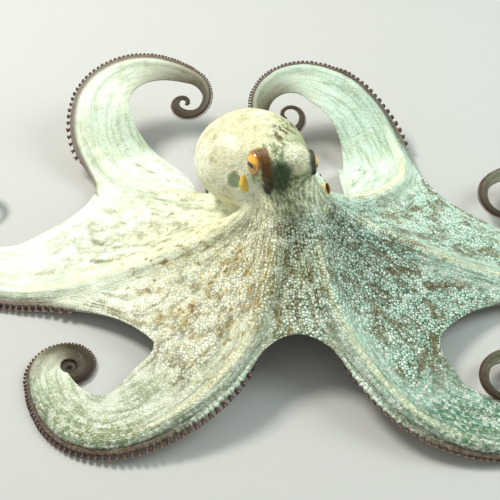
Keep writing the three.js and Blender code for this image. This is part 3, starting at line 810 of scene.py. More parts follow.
# ---- Skin: where its markings lie ----------------------------------------------------------
# An octopus colours its skin with small sacs of pigment that it opens and shuts. Here each kind
# of marking has a number at every vertex that says how strongly it shows there; a few of them are
# painted light and shade instead, as said where they are made. The tones are listed arm, web,
# arm, web from the first left arm round to the web after the first right one.
TONES = {
    "net": [0.8, 1.0, 0.85, 0.75, 0.4, 0.4, 0.5, 0.5, 0.5, 0.3, 0.2, 0.2, 0.3, 0.7, 0.75, 1.0],
    # Painted cool light: a blue-green tint, strongest on the animal's left.
    "painted_cool_light": [0.9, 0.9, 0.95, 0.85, 0.65, 0.6, 0.6, 0.5, 0.4, 0.4, 0.35, 0.3, 0.3, 0.1, 0.15, 0.55],
    # Painted shade: a dark olive wash, strongest on the two front arms.
    "painted_shade_wash": [0.85, 0.55, 0.3, 0.1, 0.1, 0.0, 0.2, 0.2, 0.2, 0.0, 0.0, 0.0, 0.0, 0.15, 0.7, 0.5],
    "brown": [0.25, 0.5, 0.7, 0.75, 0.3, 0.1, 0.1, 0.1, 0.1, 0.2, 0.3, 0.5, 0.8, 1.0, 0.7, 0.45],
}


def near_path(path, radius):
    """1 on a path of points over the skin, 0 beyond the radius from it."""
    path = np.array(path, float)
    best = np.full(len(verts), np.inf)
    for start, end in zip(path[:-1], path[1:]):
        way = end - start
        t = np.clip((verts - start) @ way / (way @ way), 0, 1)
        best = np.minimum(best, np.linalg.norm(verts - start - t[:, None] * way, axis=1))
    return 1 - ramp(best, 0.45 * radius, radius)


station, body_part = known["station"], ramp(known["body"], 0, 0.12)
whorl = known["arm"] % COUNT
halves = np.arange(2 * COUNT + 1)
tones = {name: np.interp(whorl * 2, halves, row + row[:1]) for name, row in TONES.items()}
lengths = [arm["length"] for arm in ARMS]
length = np.interp(whorl, np.arange(COUNT + 1), lengths + lengths[:1])
reach = np.clip(station / length, -1, 1)
mantle, brow = FORMS[0], FORMS[2]
mantle_part = ramp(outside(brow, verts) - outside(mantle, verts), 2, 14) * body_part
mantle_part *= ramp(verts @ unit(np.array([-0.3, 0.8, 0.1])), 2, 16)

# The marks of the head: dark spots along the top of the mantle, painted shade in the hollow
# between the eyes, the patch that runs down past the right eye, the pale mound of the left eye
# (partly a painted highlight) with painted shade round its opening, and the lids of the eyes.
spots = near_path([(1, 10, 140), (-8, 28, 134), (-4, 50, 128)], 15)
# Painted shade in the hollow between the eyes.
painted_hollow_shade = near_path([(-11, -23, 133), (-13, -20, 119)], 12)
patch = near_path([(-27, -12, 146), (-23, -20, 139), (-22, -22, 127), (-21.5, -15, 109)], 6.6)
mound = near_path([(0, -12, 144), (3, -17, 139)], 12)
# Painted shade round the left eye's opening, on the mound turned from the key light.
painted_left_eye_shade = (1 - ramp(left_eye, 24, 46)) * ramp(left_eye, -6, 0)
lid = 1 - ramp(right_eye, 9, 17)
lid_rim = 1 - ramp(np.abs(right_eye - 1), 1.5, 4)
opening = 1 - ramp(around_opening(verts)[0], 0.85, 1.05)

# The arm that each point belongs to, and what follows from it. Past its notch an arm is free.
limb = np.round(known["arm"] - 0.5 * known["lateral"]).astype(int) % COUNT
outer = np.array([arm["sense"] for arm in ARMS])[limb]
outer = (known["lateral"] * outer < 0) & (station > 60)
lip_dark = np.where(outer, 1 - ramp(known["edge"], 1.5, 8), 0) * ramp(station, 130, 200)
neck = body_part * (1 - mantle_part)
turned_left = known["lateral"] < 0
web_of = np.where(turned_left, limb - 1, limb) % COUNT
notches = np.array(NOTCHES, float)[web_of, np.where(turned_left, 1, 0)]
free = ramp(station - notches, 2, 45) * (1 - body_part)
free = np.maximum(free, ramp(station, 60, 110) * (1 - ramp(known["across"], 0.9, 2.2)))
blot_reach = ramp(station, 4, 30) * (1 - ramp(station, 80, 190)) * (1 - body_part)
# The painted shade deepens outward along each arm.
painted_shade_reach = lerp(0.3, 1.9, ramp(station, 80, 220))
tight = limb == COUNT - 1  # r1, whose closed coil is dark from its start
tip_start, tip_end = np.where(tight, 0.66, 0.55), np.where(tight, 0.8, 0.95)
WHIRL = 19.0  # radius of a circle on which the patterns meet themselves round the body
whirl = known["arm"] * 2 * math.pi / COUNT
# A painted pool of warm light on the animal's right front, where the key light falls.
painted_warm_light = np.exp(-(((verts[:, 0] + 60) / 75) ** 2) - ((verts[:, 1] + 20) / 80) ** 2)
for name, values in dict(
    station=station,
    limb=limb,
    whirl_x=np.cos(whirl) * WHIRL,
    whirl_y=np.sin(whirl) * WHIRL,
    aside=known["aside"],
    net=tones["net"] * (1 - mantle_part) * (1 - 0.45 * neck) * (1 - 0.6 * ramp(reach, 0.5, 0.85)),
    # A painted blue-green tint of cool light on the animal's left, fading out over the body.
    painted_cool_light=lerp(tones["painted_cool_light"], 0.06, body_part),
    # Painted shade, a dark olive wash, over the neck and out along the front arms.
    painted_shade_wash=lerp(tones["painted_shade_wash"] * painted_shade_reach, 0.7, neck) * (1 - mantle_part),
    # A painted highlight along the crest of each arm, near the body.
    painted_crest_highlight=(1 - ramp(known["aside"], 1.5, 7)) * ramp(station, 0, 20) * (1 - ramp(station, 120, 260)),
    brown=tones["brown"],
    blotted=ramp(tones["brown"], 0, 0.25) * blot_reach,
    free=free,
    neck=neck,
    calm=(1 - np.maximum.reduce([painted_hollow_shade, patch, lid, painted_left_eye_shade])) * (1 - 0.3 * mantle_part),
    painted_warm_light=painted_warm_light,
    # Painted shade in the troughs of the web's folds.
    painted_fold_shade=ramp(-folds, 0.25, 0.9),
    tip=ramp(reach, tip_start, tip_end),
    lip=lip_dark,
    under=ramp(known["under"], 0.55, 0.9),
    spots=spots * mantle_part,
    # Partly the mantle's and the left eye mound's own pale colour, partly a painted highlight on them.
    pale_and_painted_highlight=np.maximum(mound, mantle_part),
    # Painted shade on the side of the mantle turned from the key light.
    painted_mantle_shade=ramp(verts[:, 0], -28, 8) * mantle_part * (1 - mound),
    painted_hollow_shade=painted_hollow_shade,
    patch=patch,
    patch_low=1 - ramp(verts[:, 2], 117, 142),
    lid=lid,
    lid_rim=lid_rim,
    wart=wart,
    painted_left_eye_shade=painted_left_eye_shade,
    opening=opening,
).items():
    give(skin, name, values)


# ---- Skin: colours and grain ---------------------------------------------------------------
# Soft wet skin that lets a little light through. Its granules are pale domes in a dark net, drawn
# out into long grains where an arm is free. Over them lie clouds, blots, thin brown rills and the
# darker ends of the arms.
class Wire:
    """A value in a material's tree. Arithmetic on it adds the nodes that work it out."""

    def __init__(self, tree, socket=None):
        self.tree = tree
        self.socket = socket

    def node(self, kind, output, settings, values):
        node = self.tree.nodes.new(kind)
        for name, value in settings.items():
            setattr(node, name, value)
        for name, value in values.items():
            if isinstance(value, Wire):
                self.tree.links.new(value.socket, node.inputs[name])
            else:
                node.inputs[name].default_value = value
        return Wire(self.tree, node.outputs[output])

    def math(self, kind, *values):
        return self.node("ShaderNodeMath", 0, dict(operation=kind), dict(enumerate(values)))

    def __add__(self, other):
        return self.math("ADD", self, other)

    def __sub__(self, other):
        return self.math("SUBTRACT", self, other)

    def __rsub__(self, other):
        return self.math("SUBTRACT", other, self)

    def __mul__(self, other):
        return self.math("MULTIPLY", self, other)

    def __truediv__(self, other):
        return self.math("DIVIDE", self, other)

    __radd__ = __add__
    __rmul__ = __mul__

    def between(self, low, high):
        """0 up to low, 1 from high, and smooth between."""
        values = {0: self, 1: low, 2: high}
        return self.node("ShaderNodeMapRange", 0, dict(interpolation_type="SMOOTHSTEP"), values)

    def blend(self, other, share):
        """This colour, with its share of the other."""
        settings = dict(data_type="RGBA", clamp_factor=True)
        return self.node("ShaderNodeMix", 2, settings, {0: share, 6: self, 7: other})

    def given(self, name):
        """A number that give stored on the piece."""
        return self.node("ShaderNodeAttribute", "Fac", dict(attribute_name=name), {})

    def place(self):
        """Where a point is on the piece, in metres."""
        return self.node("ShaderNodeTexCoord", "Object", {}, {})

    def ground(self, colour):
        """The colour that others are laid over."""
        start = self.node("ShaderNodeRGB", 0, {}, {})
        start.socket.default_value = colour
        return start

    def vector(self, x, y, z=0.0):
        return self.node("ShaderNodeCombineXYZ", 0, {}, {0: x, 1: y, 2: z})

    def noise(self, vector, scale, detail=2.0, rough=0.5):
        values = dict(Vector=vector, Scale=scale, Detail=detail, Roughness=rough)
        return self.node("ShaderNodeTexNoise", 0, dict(noise_dimensions="3D"), values)


def tone(red, green, blue):
    """A display colour as the shader's linear one."""
    shares = [c / 255 for c in (red, green, blue)]
    return (*[c / 12.92 if c < 0.04045 else ((c + 0.055) / 1.055) ** 2.4 for c in shares], 1)


def new_material(name, roughness):
    """A material, the maker of its nodes, and its surface."""
    material = bpy.data.materials.new(name)
    material.use_nodes = True
    surface = material.node_tree.nodes["Principled BSDF"]
    surface.inputs["Roughness"].default_value = roughness
    return material, Wire(material.node_tree), surface


def soften(surface, share, depth):
    """Lets a share of the light into the flesh, to a depth in metres."""
    surface.inputs["Subsurface Weight"].default_value = share
    surface.inputs["Subsurface Scale"].default_value = depth


def dress(wire, surface, colour, height, depth):
    """Puts a colour and a relief of so many metres on a surface."""
    bump = wire.node("ShaderNodeBump", 0, {}, dict(Height=height, Distance=depth, Strength=1.0))
    wire.tree.links.new(colour.socket, surface.inputs["Base Color"])
    wire.tree.links.new(bump.socket, surface.inputs["Normal"])


skin_material, wire, surface = new_material("skin", 0.44)
soften(surface, 0.1, 0.004)
surface.inputs["Subsurface Radius"].default_value = (1.0, 0.7, 0.45)
surface.inputs["Specular IOR Level"].default_value = 0.25

# The granules are about 2.5 mm across, and their edges waver a little.
place = wire.place()
drift = wire.node("ShaderNodeTexNoise", "Color", {}, dict(Vector=place, Scale=150.0, Detail=1.0))
drift = wire.node("ShaderNodeVectorMath", 0, dict(operation="SCALE"), {0: drift, "Scale": 0.0032})
bent = wire.node("ShaderNodeVectorMath", 0, dict(operation="ADD"), {0: place, 1: drift})
granules = dict(Vector=bent, Scale=400.0, Randomness=0.8)
to_edge = wire.node("ShaderNodeTexVoronoi", "Distance", dict(feature="DISTANCE_TO_EDGE"), granules)
to_middle = wire.node("ShaderNodeTexVoronoi", "Distance", dict(feature="F1"), granules)
cell = wire.node("ShaderNodeTexVoronoi", "Color", dict(feature="F1"), granules)
cell = wire.node("ShaderNodeSeparateColor", 0, {}, {0: cell})
free, net, neck = wire.given("free"), wire.given("net"), wire.given("neck")
thick = net * 0.2 + 0.1
line = (1 - to_edge.between(0.0, thick)) * 0.6 + to_middle.between(0.32, 0.75) * 0.42
dome = 1 - to_middle.between(0.0, 0.75)
wide = wire.noise(place, 26.0, 3.0)
middle = wire.noise(place, 85.0, 3.0, 0.6)
speckle = wire.noise(place, 190.0, 3.0, 0.6)
fine = wire.noise(place, 700.0, 3.0, 0.6)

# Along a free arm run grains 1.7 mm wide and 4.6 mm long, fine streaks and long soft bands.
own_seed = wire.given("limb") * 9
aside, down = wire.given("aside"), wire.given("station")
streaks = wire.noise(wire.vector(aside * 0.9, down / 13, own_seed), 1.0, 3.0, 0.62)
grain = wire.vector(aside / 1.7 + own_seed, down / 4.6)
grain = wire.node("ShaderNodeVectorMath", 0, dict(operation="ADD"), {0: grain, 1: drift * 60.0})
flat_edges = dict(feature="DISTANCE_TO_EDGE", voronoi_dimensions="2D")
to_grain = wire.node("ShaderNodeTexVoronoi", "Distance", flat_edges, dict(Vector=grain, Scale=1.0))
grain_line = 1 - to_grain.between(0.02, 0.16)
long = wire.noise(wire.vector(aside / 4, down / 40, own_seed), 1.0, 2.0)

# Round the body and outward over the webs go blots with a paler halo, thin rills, and on the
# neck short runs.
whirl_x, whirl_y = wire.given("whirl_x"), wire.given("whirl_y")
blots = wire.noise(wire.vector(whirl_x * 1.1, whirl_y * 1.1, down / 9), 1.0, 3.0, 0.6)
blots = blots + (cell - 0.5) * 0.04
halo = blots.between(0.5, 0.62)
blots = blots.between(0.58, 0.68)
rills = wire.noise(wire.vector(whirl_x * 0.6, whirl_y * 0.6, down / 55), 1.0, 3.0, 0.6)
rills = (1 - wire.math("ABSOLUTE", rills - 0.5).between(0.0, 0.07)) * middle.between(0.34, 0.54)
runs = wire.noise(wire.vector(whirl_x * 0.8, whirl_y * 0.8, down / 8), 1.0, 3.0, 0.6)

# The ground is cream, with painted light: a blue-green tint of cool light on the animal's left,
# and a warm pool on its right front where the key light falls. Then come soft clouds.
painted_cool_light = wire.given("painted_cool_light")
colour = wire.ground(tone(250, 250, 232))
colour = colour.blend(tone(206, 246, 226), painted_cool_light)
colour = colour.blend(tone(252, 242, 194), wire.given("painted_warm_light") * 0.6)
colour = colour.blend(tone(205, 212, 178), wide.between(0.42, 0.7) * 0.5)
colour = colour.blend(tone(196, 202, 160), middle.between(0.5, 0.68) * 0.45)
# Painted shade: a dark olive wash, teal on the animal's left, broken up by the clouds.
painted_shade_colour = colour.blend(tone(152, 160, 116), 1.0).blend(tone(80, 138, 112), painted_cool_light)
colour = colour.blend(painted_shade_colour, wire.given("painted_shade_wash") * (0.35 + 0.65 * wide.between(0.3, 0.6)))
colour = colour.blend(tone(250, 255, 240), cell.between(0.3, 0.85) * net * 0.85)

# The net between the granules, the grain of the free arms, and a painted highlight along the
# crest of each arm.
line_colour = colour.blend(tone(84, 74, 18), 1.0).blend(tone(16, 60, 38), painted_cool_light)
colour = colour.blend(tone(112, 132, 92), free * long.between(0.46, 0.66) * (0.15 + 0.5 * net))
colour = colour.blend(tone(252, 255, 240), free * (1 - streaks.between(0.3, 0.46)) * 0.8)
colour = colour.blend(tone(255, 250, 206), wire.given("painted_crest_highlight") * (0.3 + 0.5 * middle))
colour = colour.blend(line_colour, line * net * (1 - free) * (0.55 + middle * 0.9))
colour = colour.blend(line_colour, grain_line * free * (0.05 + 0.8 * net) * (0.4 + long))

# Painted shade in the troughs of the web's folds, then rills and blots.
colour = colour.blend(tone(92, 84, 50), wire.given("painted_fold_shade") * middle.between(0.4, 0.6) * 0.75)
colour = colour.blend(tone(92, 72, 16), rills * (0.3 + 0.7 * net) * (1 - neck) * (1 - free) * 0.8)
blotted = (0.3 + 0.7 * wire.given("brown")) * wire.given("blotted")
colour = colour.blend(tone(204, 184, 104), halo * blotted * (1 - painted_cool_light) * 0.55)
blot_colour = colour.blend(tone(108, 66, 14), 1.0).blend(tone(50, 40, 12), painted_cool_light * 0.8 + cell * 0.3)
colour = colour.blend(blot_colour, blots * blotted * (0.7 + dome * 0.25))

# The neck is mottled green. The mantle and the mound of the left eye are pale, partly their own
# colour and partly a painted highlight, with a faint net.
pale_and_painted_highlight = wire.given("pale_and_painted_highlight")
colour = colour.blend(tone(84, 104, 54), neck * runs.between(0.44, 0.64) * 0.75)
colour = colour.blend(tone(240, 243, 190), neck * (1 - runs.between(0.34, 0.5)) * 0.6)
colour = colour.blend(tone(240, 240, 218), pale_and_painted_highlight * 0.85)
colour = colour.blend(tone(200, 192, 138), pale_and_painted_highlight * wide.between(0.4, 0.62) * 0.5)
# Painted shade on the side of the mantle turned from the key light.
colour = colour.blend(tone(176, 184, 132), wire.given("painted_mantle_shade") * 0.8)
colour = colour.blend(tone(168, 164, 112), pale_and_painted_highlight * middle.between(0.5, 0.66) * 0.4)
colour = colour.blend(tone(150, 138, 84), pale_and_painted_highlight * line * (0.15 + speckle.between(0.4, 0.6) * 0.35))
colour = colour.blend(tone(140, 112, 56), pale_and_painted_highlight * speckle.between(0.6, 0.72) * 0.45)
colour = colour.blend(tone(76, 62, 30), wire.given("spots") * speckle.between(0.48, 0.62) * 0.8)

# The ends of the arms and their lips are brown.
tip = wire.given("tip")
colour = colour.blend(tone(122, 100, 66), tip * 0.85)
colour = colour.blend(tone(50, 40, 27), tip * tip * (0.6 + streaks * 0.6))
colour = colour.blend(tone(84, 52, 40), wire.given("lip") * 0.85)

# The face: painted shade in the hollow between the eyes, the brown patch across the right one, the
# lids, the wart, and painted shade round the left eye's opening. Last come the mantle's opening and
# the pink underside.
colour = colour.blend(tone(54, 72, 44), wire.given("painted_hollow_shade") * (0.75 + runs * 0.4))
patch_colour = colour.blend(tone(106, 66, 18), 1.0).blend(tone(44, 28, 14), wire.given("patch_low"))
colour = colour.blend(patch_colour, wire.given("patch") * (0.8 + middle * 0.3))
colour = colour.blend(tone(132, 80, 26), wire.given("lid") * 0.8)
colour = colour.blend(tone(244, 186, 120), wire.given("lid_rim") * 0.8)
colour = colour.blend(tone(244, 222, 160), wire.given("wart") * 0.7)
colour = colour.blend(tone(40, 38, 24), wire.given("painted_left_eye_shade") * 0.92)
colour = colour.blend(tone(176, 192, 156), wire.given("opening") * 0.9)
colour = colour.blend(tone(232, 208, 188), wire.given("under") * 0.8)

# The relief follows the same patterns.
height = dome * net * (1 - free) * 0.7 + middle * 0.4 + neck * runs * 0.6 - rills * net * 0.5
height = height + dome * pale_and_painted_highlight * 0.3
height = height + (to_grain.between(0.0, 0.4) * (0.1 + 0.45 * net) + streaks * 0.5) * free
dress(wire, surface, colour, height * wire.given("calm") + fine * 0.12, 0.001)
skin.data.materials.append(skin_material)
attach(skin, "root")
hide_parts("head", "mantle", *[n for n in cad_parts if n.startswith(("arm_", "web_"))])

# ---- Eyeballs ------------------------------------------------------------------------------
# Two wet golden balls with darker flecks and pale fibres, each with a level dark slit of a pupil.
# They sit in the mounds of the head. A ball's mesh has its poles at the pupil and behind it.
EYE_AROUND, EYE_DOWN = 96, 64
PUPIL_WIDE, PUPIL_HIGH = 19, 9  # degrees from the middle


def ring_quads(numbers, flip=False):
    """Quads between rings of numbered points, one ring in each row."""
    nexts = np.roll(numbers, -1, 1)
    corners = (numbers[:-1], nexts[:-1], nexts[1:], numbers[1:])
    if flip:
        corners = corners[:1] + corners[:0:-1]
    return np.stack([corner.ravel() for corner in corners], -1)


for eye in EYES:
    pole = unit(np.array(eye["pupil"]))
    level = unit(np.cross(UP, pole))
    above = np.cross(pole, level)
    polar = np.linspace(0, math.pi, EYE_DOWN + 1)[1:-1, None, None]
    turn = np.linspace(0, 2 * math.pi, EYE_AROUND, endpoint=False)[None, :, None]
    ways = pole * np.cos(polar) + (level * np.cos(turn) + above * np.sin(turn)) * np.sin(polar)
    ball = np.concatenate([ways.reshape(-1, 3), pole[None], -pole[None]])
    numbers = np.arange((EYE_DOWN - 1) * EYE_AROUND).reshape(EYE_DOWN - 1, EYE_AROUND)
    nexts = np.roll(numbers, -1, 1)
    front, back = np.full(EYE_AROUND, len(ball) - 2), np.full(EYE_AROUND, len(ball) - 1)
    ball_quads = np.concatenate([
        ring_quads(numbers, flip=True),
        np.stack([numbers[0], nexts[0], front, front], -1),
        np.stack([nexts[-1], numbers[-1], back, back], -1),
    ])
    placed = np.array(eye["centre"]) + ball * EYE_RADIUS
    eyeball = make_piece(eye["name"] + "_ball", placed, ball_quads)
    give(eyeball, "sideways", np.degrees(np.arctan2(ball @ level, ball @ pole)))
    give(eyeball, "upward", np.degrees(np.arcsin(np.clip(ball @ above, -1, 1))))
    eye_material, wire, surface = new_material(eye["name"], 0.08)
    surface.inputs["Coat Weight"].default_value = 0.6
    surface.inputs["Coat Roughness"].default_value = 0.03
    sideways, upward = wire.given("sideways"), wire.given("upward")
    rim = wire.math("SQRT", sideways * sideways + upward * upward)
    fibres = wire.noise(wire.vector(sideways / 14, upward / 3), 1.0, 4.0, 0.6)
    flecks = wire.noise(wire.vector(sideways / 5, upward / 5, 3.0), 1.0, 2.0)
    colour = wire.ground(tone(196, 150, 66))
    colour = colour.blend(tone(255, 200, 70), upward.between(2, 22) * 0.9)
    colour = colour.blend(tone(206, 96, 24), flecks.between(0.52, 0.66) * 0.7)
    colour = colour.blend(tone(255, 232, 150), fibres.between(0.55, 0.75) * 0.5)
    # Towards its edge each ball turns red-brown, its own colour, then near black: painted shade where it
    # turns in under the lids.
    colour = colour.blend(tone(170, 76, 24), rim.between(34, 56) * 0.8)
    colour = colour.blend(tone(70, 30, 14), rim.between(54, 70))
    # The slit is a level bar with rounded corners.
    wide = wire.math("ABSOLUTE", sideways) / PUPIL_WIDE
    high = wire.math("ABSOLUTE", upward) / PUPIL_HIGH
    slit = wire.math("MAXIMUM", wide, high)
    slit = slit + wire.math("POWER", wide, 4.0) * wire.math("POWER", high, 4.0) * 0.5
    colour = colour.blend(tone(120, 60, 20), 1 - slit.between(1.0, 1.35))
    colour = colour.blend(tone(6, 5, 5), 1 - slit.between(0.92, 1.04))
    dress(wire, surface, colour, fibres, 0.00004)
    eyeball.data.materials.append(eye_material)
    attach(eyeball, "root")
    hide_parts(eye["name"])

# ---- Funnel ------------------------------------------------------------------------------
# The tube that the animal breathes and swims with, a soft sleeve beside the neck with a thick
# round lip, brown inside. Its profile is (share of the way from base to mouth, radius), first up
# the outside, then over the lip and down inside.
FUNNEL_ROWS, FUNNEL_AROUND = 90, 72
FUNNEL_LIP = 41  # the row on top of the lip
FUNNEL_OUT = [(0, 8.2), (0.3, 7.2), (0.6, 6.1), (0.85, 5.5), (0.96, 5.7), (1.0, 5.35)]
FUNNEL_IN = [(1.015, 4.9), (0.99, 4.5), (0.93, 4.1), (0.8, 3.9), (0.55, 3.4), (0.5, 2.2), (0.49, 0.3)]


def turned(base, mouth, profile, around_count):
    """Rings of points round the way from base to mouth, and the quads between them."""
    base, mouth = np.array(base, float), np.array(mouth, float)
    axis = mouth - base
    aside = unit(np.cross(UP, axis))
    above = unit(np.cross(axis, aside))
    places, radii = np.array(profile, float).T
    turn = np.linspace(0, 2 * math.pi, around_count, endpoint=False)
    ways = aside * np.cos(turn)[:, None] + above * np.sin(turn)[:, None]
    block = base + axis * places[:, None, None] + ways[None] * radii[:, None, None]
    return block, ring_quads(np.arange(block[..., 0].size).reshape(len(places), around_count))


def curve(profile, steps):
    """The given profile in so many steps, with its corners rounded."""
    knots = np.arange(len(profile), dtype=float)
    fine = np.linspace(0, len(profile) - 1, steps)
    values = np.stack([np.interp(fine, knots, column) for column in np.array(profile, float).T], -1)
    for _ in range(steps // 10):
        values[1:-1] += 0.5 * ((values[2:] + values[:-2]) / 2 - values[1:-1])
    return values


funnel_profile = curve(FUNNEL_OUT + FUNNEL_IN, FUNNEL_ROWS)
funnel_block, funnel_quads = turned(FUNNEL["base"], FUNNEL["mouth"], funnel_profile, FUNNEL_AROUND)
funnel = make_piece("funnel_tube", funnel_block.reshape(-1, 3), funnel_quads)
past_lip = np.repeat(np.arange(FUNNEL_ROWS), FUNNEL_AROUND) - FUNNEL_LIP
give(funnel, "inside", ramp(past_lip, 3, 15))
give(funnel, "lip", 1 - ramp(np.abs(past_lip), 4, 12))
funnel_material, wire, surface = new_material("funnel", 0.42)
soften(surface, 0.1, 0.003)
soft = wire.noise(wire.place(), 300.0, 3.0, 0.6)
colour = wire.ground(tone(232, 226, 184))
colour = colour.blend(tone(140, 132, 88), soft.between(0.48, 0.66) * 0.6)
colour = colour.blend(tone(228, 176, 70), wire.given("lip") * 0.8)
colour = colour.blend(tone(112, 66, 24), wire.given("inside") * 0.95)
dress(wire, surface, colour, soft, 0.0004)
funnel.data.materials.append(funnel_material)
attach(funnel, "root")
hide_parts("funnel")

# ---- Collar lobe -------------------------------------------------------------------------
# A yellow flap of the funnel's collar bulges from the groove between the mantle's opening and the
# head, under the right eye. It is soft muscle, a little fuller at its lower end, and lumpy.
LOBE_LOW, LOBE_HIGH = (-40, -6.5, 99), (-41.5, -5, 116.5)
LOBE_RADIUS = 4.4
LOBE_FULLER = 0.25
arc = np.linspace(0.02, 0.98, 36) * math.pi
lobe_radii = LOBE_RADIUS * np.sin(arc) * (1 + LOBE_FULLER * np.cos(arc))
lobe_profile = np.stack([0.5 - 0.5 * np.cos(arc), lobe_radii], -1)
lobe_block, lobe_quads = turned(LOBE_LOW, LOBE_HIGH, lobe_profile, 48)
lobe_block += 0.5 * lumps(lobe_block.reshape(-1, 3), 4, 9).reshape(lobe_block.shape[:2])[..., None]
lobe = make_piece("collar_lobe", lobe_block.reshape(-1, 3), lobe_quads)
lobe_material, wire, surface = new_material("collar_lobe", 0.4)
soften(surface, 0.15, 0.003)
soft = wire.noise(wire.place(), 240.0, 3.0, 0.6)
colour = wire.ground(tone(236, 196, 74))
colour = colour.blend(tone(250, 238, 180), soft.between(0.5, 0.7) * 0.7)
dress(wire, surface, colour, soft, 0.0004)
lobe.data.materials.append(lobe_material)
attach(lobe, "root")

# ---- Suckers -----------------------------------------------------------------------------
# Two staggered rows of muscular cups run down every sole from the mouth to the tip, each a short
# stalk with a thick rim round a pink hollow. Where the arm rests on them they are pushed up into
# it, and past the web the outer row stands along the arm's lip.
SUCKER_SIZE = 0.29  # width of a cup, as a share of the arm's
SUCKER_FIRST = 7.0  # station of the first one
SUCKER_STEP = 0.52  # from one row's cup to the next one of the other row, in their own width
SUCKER_ANGLE = 32  # degrees of each row from the middle of the sole
LIP_FROM, LIP_TO = 4, 34  # past the notch, where the outer row moves out to the lip
LIP_SEAT = (0.75, 0.2)  # its place on the lip, out and down, in half the lip's thickness
SUCKER_DROP = 22  # degrees that the cups on the lip look down
FINE_FROM = 2.5  # wider cups have the finer mesh
# How far the cups on the lip stand off it, in their own width. Below zero they are sunk in it.
STAND = dict(l1=-0.2, l2=0.3, l3=0.45, l4=0.35, r4=0.35, r3=0.45, r2=0.3, r1=0.45)
# Up the stalk, over the rim and down into the cup, as (radius, height) in shares of the width.
SUCKER_PROFILE = [
    (0.30, -0.6), (0.32, 0.0), (0.38, 0.12), (0.5, 0.22), (0.5, 0.27), (0.44, 0.31),
    (0.35, 0.27), (0.22, 0.17), (0.15, 0.12), (0.13, -0.02), (0.02, -0.03),
]
chance = np.random.default_rng(8)


def sucker_places(arm):
    """Rows of station, size and row, -1 or 1, for every cup of an arm."""
    places, s, row = [], SUCKER_FIRST, 0
    while s < arm["length"] - 1.5:
        size = SUCKER_SIZE * width_at(arm, s)
        places.append((s, size, -1 if row % 2 else 1))
        s += size * SUCKER_STEP
        row += 1
    return np.array(places).T


def sucker_mesh(i):
    """The points and quads of an arm's cups, and how far along its profile each point lies."""
    arm = ARMS[i]
    s, size, row = sucker_places(arm)
    size = size * chance.uniform(0.9, 1.06, len(s))
    hand = -arm["sense"]
    along, _, side, dorsal = frame_at(arm, s)
    out = ramp(s - notch_on(i, hand), LIP_FROM, LIP_TO)
    angle = np.radians(-90 + hand * np.where(row > 0, SUCKER_ANGLE, lerp(-SUCKER_ANGLE, 15, out)))
    half = width_at(arm, s) / 2
    flat = np.stack([np.cos(angle), SOLE_DEPTH * np.sin(angle)], -1)
    spot = point_at(arm, s) + half[:, None] * (side * flat[:, :1] + dorsal * flat[:, 1:])
    normal = unit(side * SOLE_DEPTH * np.cos(angle)[:, None] + dorsal * np.sin(angle)[:, None])
    edge, edge_normal = fin_edge(i, hand, s)
    outward = unit(edge - root_at(i, hand, s))
    lip = lip_at(i, hand, s)[:, None]
    drop = math.radians(SUCKER_DROP)
    out = (out * (row > 0))[:, None]
    seat = edge + outward * lip * LIP_SEAT[0] - edge_normal * lip * LIP_SEAT[1]
    spot = lerp(spot, seat, out)
    normal = unit(lerp(normal, outward * math.cos(drop) - edge_normal * math.sin(drop), out))
    stand = STAND[arm["name"]] * lerp(1, 1.6, ramp(s / arm["length"], 0.5, 0.8))
    stand *= ramp(s, 70, 170)
    spot = spot + normal * (out[:, 0] * stand * size)[:, None]
    aside = unit(np.cross(normal, along))
    forth = np.cross(aside, normal)
    blocks, all_quads, tints, count = [], [], [], 0
    for k in range(len(s)):
        fine = size[k] > FINE_FROM
        segments = 18 if fine else 10
        profile = np.array(SUCKER_PROFILE if fine else SUCKER_PROFILE[::2])
        turn = np.linspace(0, 2 * math.pi, segments, endpoint=False)
        ways = forth[k] * np.cos(turn)[:, None] * 1.04 + aside[k] * np.sin(turn)[:, None] * 0.96
        rings = ways[None] * profile[:, :1, None] + normal[k] * profile[:, 1:, None]
        block = spot[k] + size[k] * rings
        block[..., 2] += max(0.0, 0.1 - block[..., 2].min())
        numbers = count + np.arange(block[..., 0].size).reshape(len(profile), segments)
        all_quads.append(ring_quads(numbers))
        blocks.append(block.reshape(-1, 3))
        tints.append(np.repeat(np.linspace(0, 1, len(profile)), segments))
        count += block[..., 0].size
    return np.concatenate(blocks), np.concatenate(all_quads), np.concatenate(tints)


sucker_material, wire, surface = new_material("suckers", 0.38)
soften(surface, 0.1, 0.002)
soft = wire.noise(wire.place(), 500.0, 3.0, 0.6)
inward = wire.given("inward")
colour = wire.ground(tone(84, 56, 42))
colour = colour.blend(tone(44, 27, 20), soft.between(0.42, 0.62) * 0.8)
colour = colour.blend(tone(224, 184, 158), inward.between(0.45, 0.62) * 0.9)
colour = colour.blend(tone(150, 96, 78), inward.between(0.8, 0.95) * 0.8)
dress(wire, surface, colour, soft, 0.0003)
for i, arm in enumerate(ARMS):
    cups, cup_quads, tints = sucker_mesh(i)
    suckers = make_piece("suckers_" + arm["name"], cups, cup_quads)
    give(suckers, "inward", tints)
    suckers.data.materials.append(sucker_material)
    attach(suckers, "root")

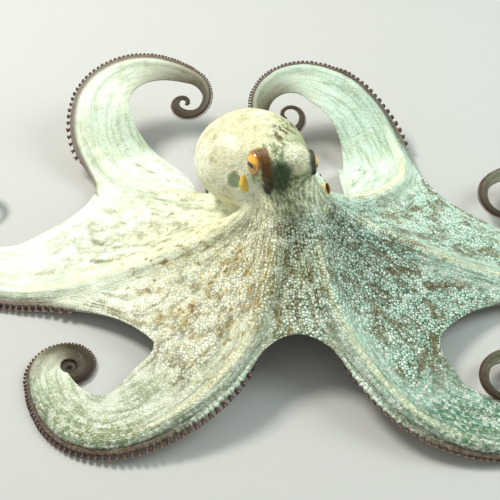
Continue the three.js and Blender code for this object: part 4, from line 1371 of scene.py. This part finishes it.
# ---- Floor, light and camera ---------------------------------------------------------------
# A plain pale floor, a faint light from all round, a warm soft light above and behind the animal
# on its right, and a cooler one on its left.
FLOOR_HALF = 6.0
floor_mesh = bpy.data.meshes.new("floor")
corners = [(x * FLOOR_HALF, y * FLOOR_HALF, 0) for x, y in ((-1, -1), (1, -1), (1, 1), (-1, 1))]
floor_mesh.from_pydata(corners, [], [(0, 1, 2, 3)])
floor = bpy.data.objects.new("floor", floor_mesh)
bpy.context.scene.collection.objects.link(floor)
floor_material = bpy.data.materials.new("floor")
floor_material.use_nodes = True
floor_surface = floor_material.node_tree.nodes["Principled BSDF"]
floor_surface.inputs["Base Color"].default_value = (0.5, 0.5, 0.48, 1)
floor_surface.inputs["Roughness"].default_value = 0.9
floor_mesh.materials.append(floor_material)

world = bpy.data.worlds.new("studio")
bpy.context.scene.world = world
world.use_nodes = True
sky = world.node_tree.nodes["Background"]
sky.inputs["Color"].default_value = (0.92, 1.0, 0.97, 1)
sky.inputs["Strength"].default_value = 0.5


def soft_light(name, place, aim, size, power, colour):
    data = bpy.data.lights.new(name, "AREA")
    data.size = size
    data.energy = power
    data.color = colour
    light = bpy.data.objects.new(name, data)
    light.location = place
    light.rotation_euler = (Vector(aim) - Vector(place)).to_track_quat("-Z", "Y").to_euler()
    bpy.context.scene.collection.objects.link(light)


soft_light("key", (-0.9, 0.6, 1.4), (0, 0, 0.05), 0.5, 30, (1.0, 0.97, 0.9))
soft_light("fill", (1.3, 0.2, 1.2), (0.1, 0, 0.05), 1.0, 16, (0.86, 1.0, 0.98))

# The camera looks down over the animal's front, at a point before and below its head.
ELEVATION = math.radians(45)
DISTANCE = 0.793
VIEW_ANGLE = math.radians(30)
FROM_HEAD = Vector((-0.03122, -0.02911, -0.03915))
head_low, head_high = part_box("head")
target = (head_low + head_high) / 2 + FROM_HEAD
camera_data = bpy.data.cameras.new("camera")
camera_data.sensor_width = 36
camera_data.lens = camera_data.sensor_width / (2 * math.tan(VIEW_ANGLE / 2))
camera = bpy.data.objects.new("camera", camera_data)
camera.location = target + DISTANCE * Vector((0, -math.cos(ELEVATION), math.sin(ELEVATION)))
camera.rotation_euler = (math.pi / 2 - ELEVATION, 0, 0)
bpy.context.scene.collection.objects.link(camera)
bpy.context.scene.camera = camera
bpy.context.scene.view_settings.view_transform = "Standard"
